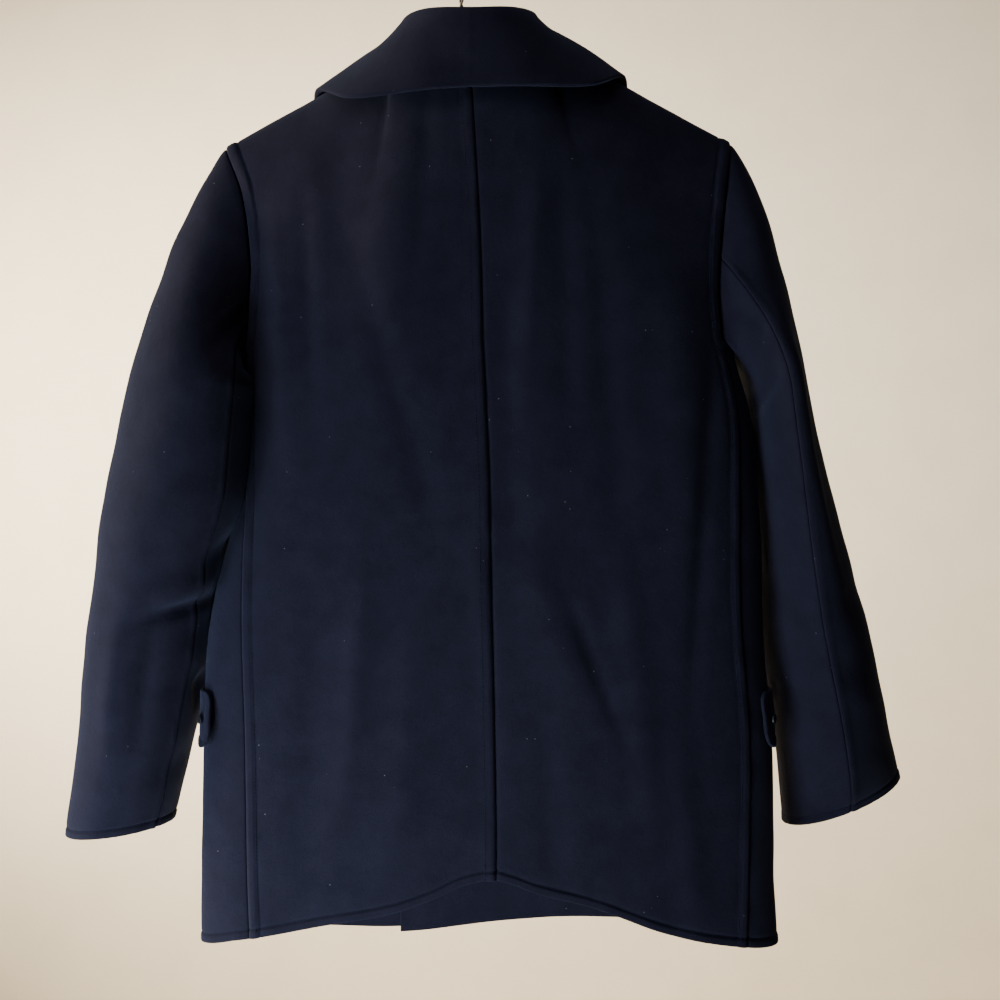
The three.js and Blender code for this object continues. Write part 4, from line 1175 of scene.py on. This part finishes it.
def buttons():
    """Six front buttons in two columns, each with its crossing thread."""
    facing = np.array([0.0, -1.0, 0.0])
    for row, height in enumerate(BUTTON_HEIGHTS, 1):
        for side in ("left", "right"):
            up = (height - HEM_HEIGHT) / (UNDERARM - HEM_HEIGHT)
            x = body("middle", up) + sign_of(side) * BUTTON_SPREAD
            place = np.array([x, front_depth(x, up) - DISC_SINK, height])
            node = f"button_{side}_{row}"
            button = disc(node, place, facing, BUTTON_RADIUS, BUTTON_THICK, BUTTON_RIM, HOLES)
            dress(button, RESIN, node)
            level = place + facing * (BUTTON_THICK * CROSS_LEVEL)
            rows = []
            for dx in (-CROSS_APART, CROSS_APART):
                ends = np.array([[dx, 0, -HOLE_PLACE], [dx, 0, HOLE_PLACE]])
                rows.append((level + ends, np.array([facing, facing])))
            threads = stitch_rows(f"{node}_thread", rows, CROSS_PITCH, CROSS_RADIUS)
            dress(threads, THREAD, node)


def hanger():
    """One wire, a round tube along the path from the end of the twist down and round both
    shoulders, up the twist and into the hook."""
    gap = WIRE_RADIUS + TWIST_GAP
    share = np.linspace(0, 1, 21)

    def twist(part, phase):
        turn = part * WIRE_TURNS * 2 * math.pi + phase
        return vec(gap * np.cos(turn), gap * np.sin(turn), lerp(NECK_FOOT, NECK_TOP, part))

    def arm(x):
        return vec(x, 0, NECK_FOOT - SHOULDER_DROP - WIRE_SLOPE * np.abs(x))

    end_z = arm(WIRE_REACH)[2]
    turn = np.linspace(0.6, math.pi - 0.1, 5)
    bend_x = WIRE_REACH + WIRE_END * np.sin(turn)
    bend_z = end_z - WIRE_END + WIRE_END * np.cos(turn)
    places = np.array([*WIRE_PLACES, WIRE_REACH - 4])
    bar = np.linspace(-WIRE_REACH + 12, WIRE_REACH - 12, 7)
    hook = np.linspace(-0.5, 1.15, 15) * math.pi
    hook_z = -HOOK_RADIUS + HOOK_RISE
    path = np.concatenate([
        twist(share[::-1], math.pi),
        arm(-places),
        vec(-bend_x, 0, bend_z),
        vec(bar, 0, end_z - 2 * WIRE_END),
        vec(bend_x, 0, bend_z)[::-1],
        arm(places[::-1]),
        twist(share, 0),
        vec(HOOK_RADIUS * np.cos(hook), 0, hook_z + HOOK_RADIUS * np.sin(hook)),
    ])
    tilt_x = path[:, 0] * math.cos(WIRE_TILT) + path[:, 2] * math.sin(WIRE_TILT)
    tilt_z = -path[:, 0] * math.sin(WIRE_TILT) + path[:, 2] * math.cos(WIRE_TILT)
    path = curve(vec(tilt_x, path[:, 1], tilt_z), np.linspace(0, 1, 900))
    along = unit(np.gradient(path, axis=0))
    depth = np.array([0.0, 1.0, 0.0])
    beside = unit(depth - along * (along @ depth)[:, None])
    third = np.cross(along, beside)
    angle = (np.arange(WIRE_SIDES) * 2 * math.pi / WIRE_SIDES)[None, :, None]
    circle = np.cos(angle) * beside[:, None] + np.sin(angle) * third[:, None]
    points = (path[:, None] + WIRE_RADIUS * circle).reshape(-1, 3)
    ends = np.arange(len(points)).reshape(-1, WIRE_SIDES)
    faces = tube_faces(*ends.shape)[0].tolist() + [ends[0][::-1].tolist(), ends[-1].tolist()]
    dress(mesh_object("hanger_wire", points, faces), STEEL, "hanger_wire")


for side in ("left", "right"):
    back_half(side)
    front_half(side)
    behind, ahead = SLEEVE_SEAMS[side]
    sleeve_piece(side, "under", behind, ahead)
    sleeve_piece(side, "top", ahead - 360, behind)
    lapel(side)
    pocket_flap(side)
collar()
buttons()
hanger()

# Wall, floor and light


def flat(name, corners):
    """A flat piece of the surroundings from its four corners in mm."""
    thing = mesh_object(name, np.array(corners, float), [[0, 1, 2, 3]])
    thing.data.materials.append(PLASTER)


rear = [(-WIDE, -DEEP, FLOOR), (WIDE, -DEEP, FLOOR)]
flat("floor", rear + [(WIDE, DEEP, FLOOR), (-WIDE, DEEP, FLOOR)])
flat("wall", rear + [(WIDE, -DEEP, TOP), (-WIDE, -DEEP, TOP)])

world = bpy.data.worlds.new("room")
bpy.context.scene.world = world
world.use_nodes = True
sky = world.node_tree.nodes["Background"].inputs
sky["Color"].default_value = (1.0, 0.95, 1.0, 1)
sky["Strength"].default_value = 0.09


def area_light(name, place, target, size, spread, power, colour):
    """A soft square light aimed at a point, with its beam's full angle in degrees."""
    light = bpy.data.lights.new(name, "AREA")
    light.size, light.energy, light.color = size, power, colour
    light.spread = math.radians(spread)
    lamp = bpy.data.objects.new(name, light)
    bpy.context.scene.collection.objects.link(lamp)
    lamp.location = place
    lamp.rotation_euler = (Vector(target) - Vector(place)).to_track_quat("-Z", "Y").to_euler()


area_light("window", (1.5, 1.0, -1.3), (0.42, 0.0, -0.8), 0.7, 60, 5.6, (0.68, 0.83, 1.0))
area_light("low_bounce", (0.5, 0.6, -1.7), (0.2, 0.0, -1.0), 0.6, 70, 5.0, (0.85, 0.93, 1.0))
area_light("ceiling", (0.9, 1.0, 0.9), (0.0, 0.0, -0.3), 1.2, 140, 9.0, (1.0, 0.93, 0.97))
area_light("wall_wash", (2.8, -0.8, -0.2), (-0.8, -2.6, -0.5), 2.2, 90, 250, (1.0, 0.85, 0.61))
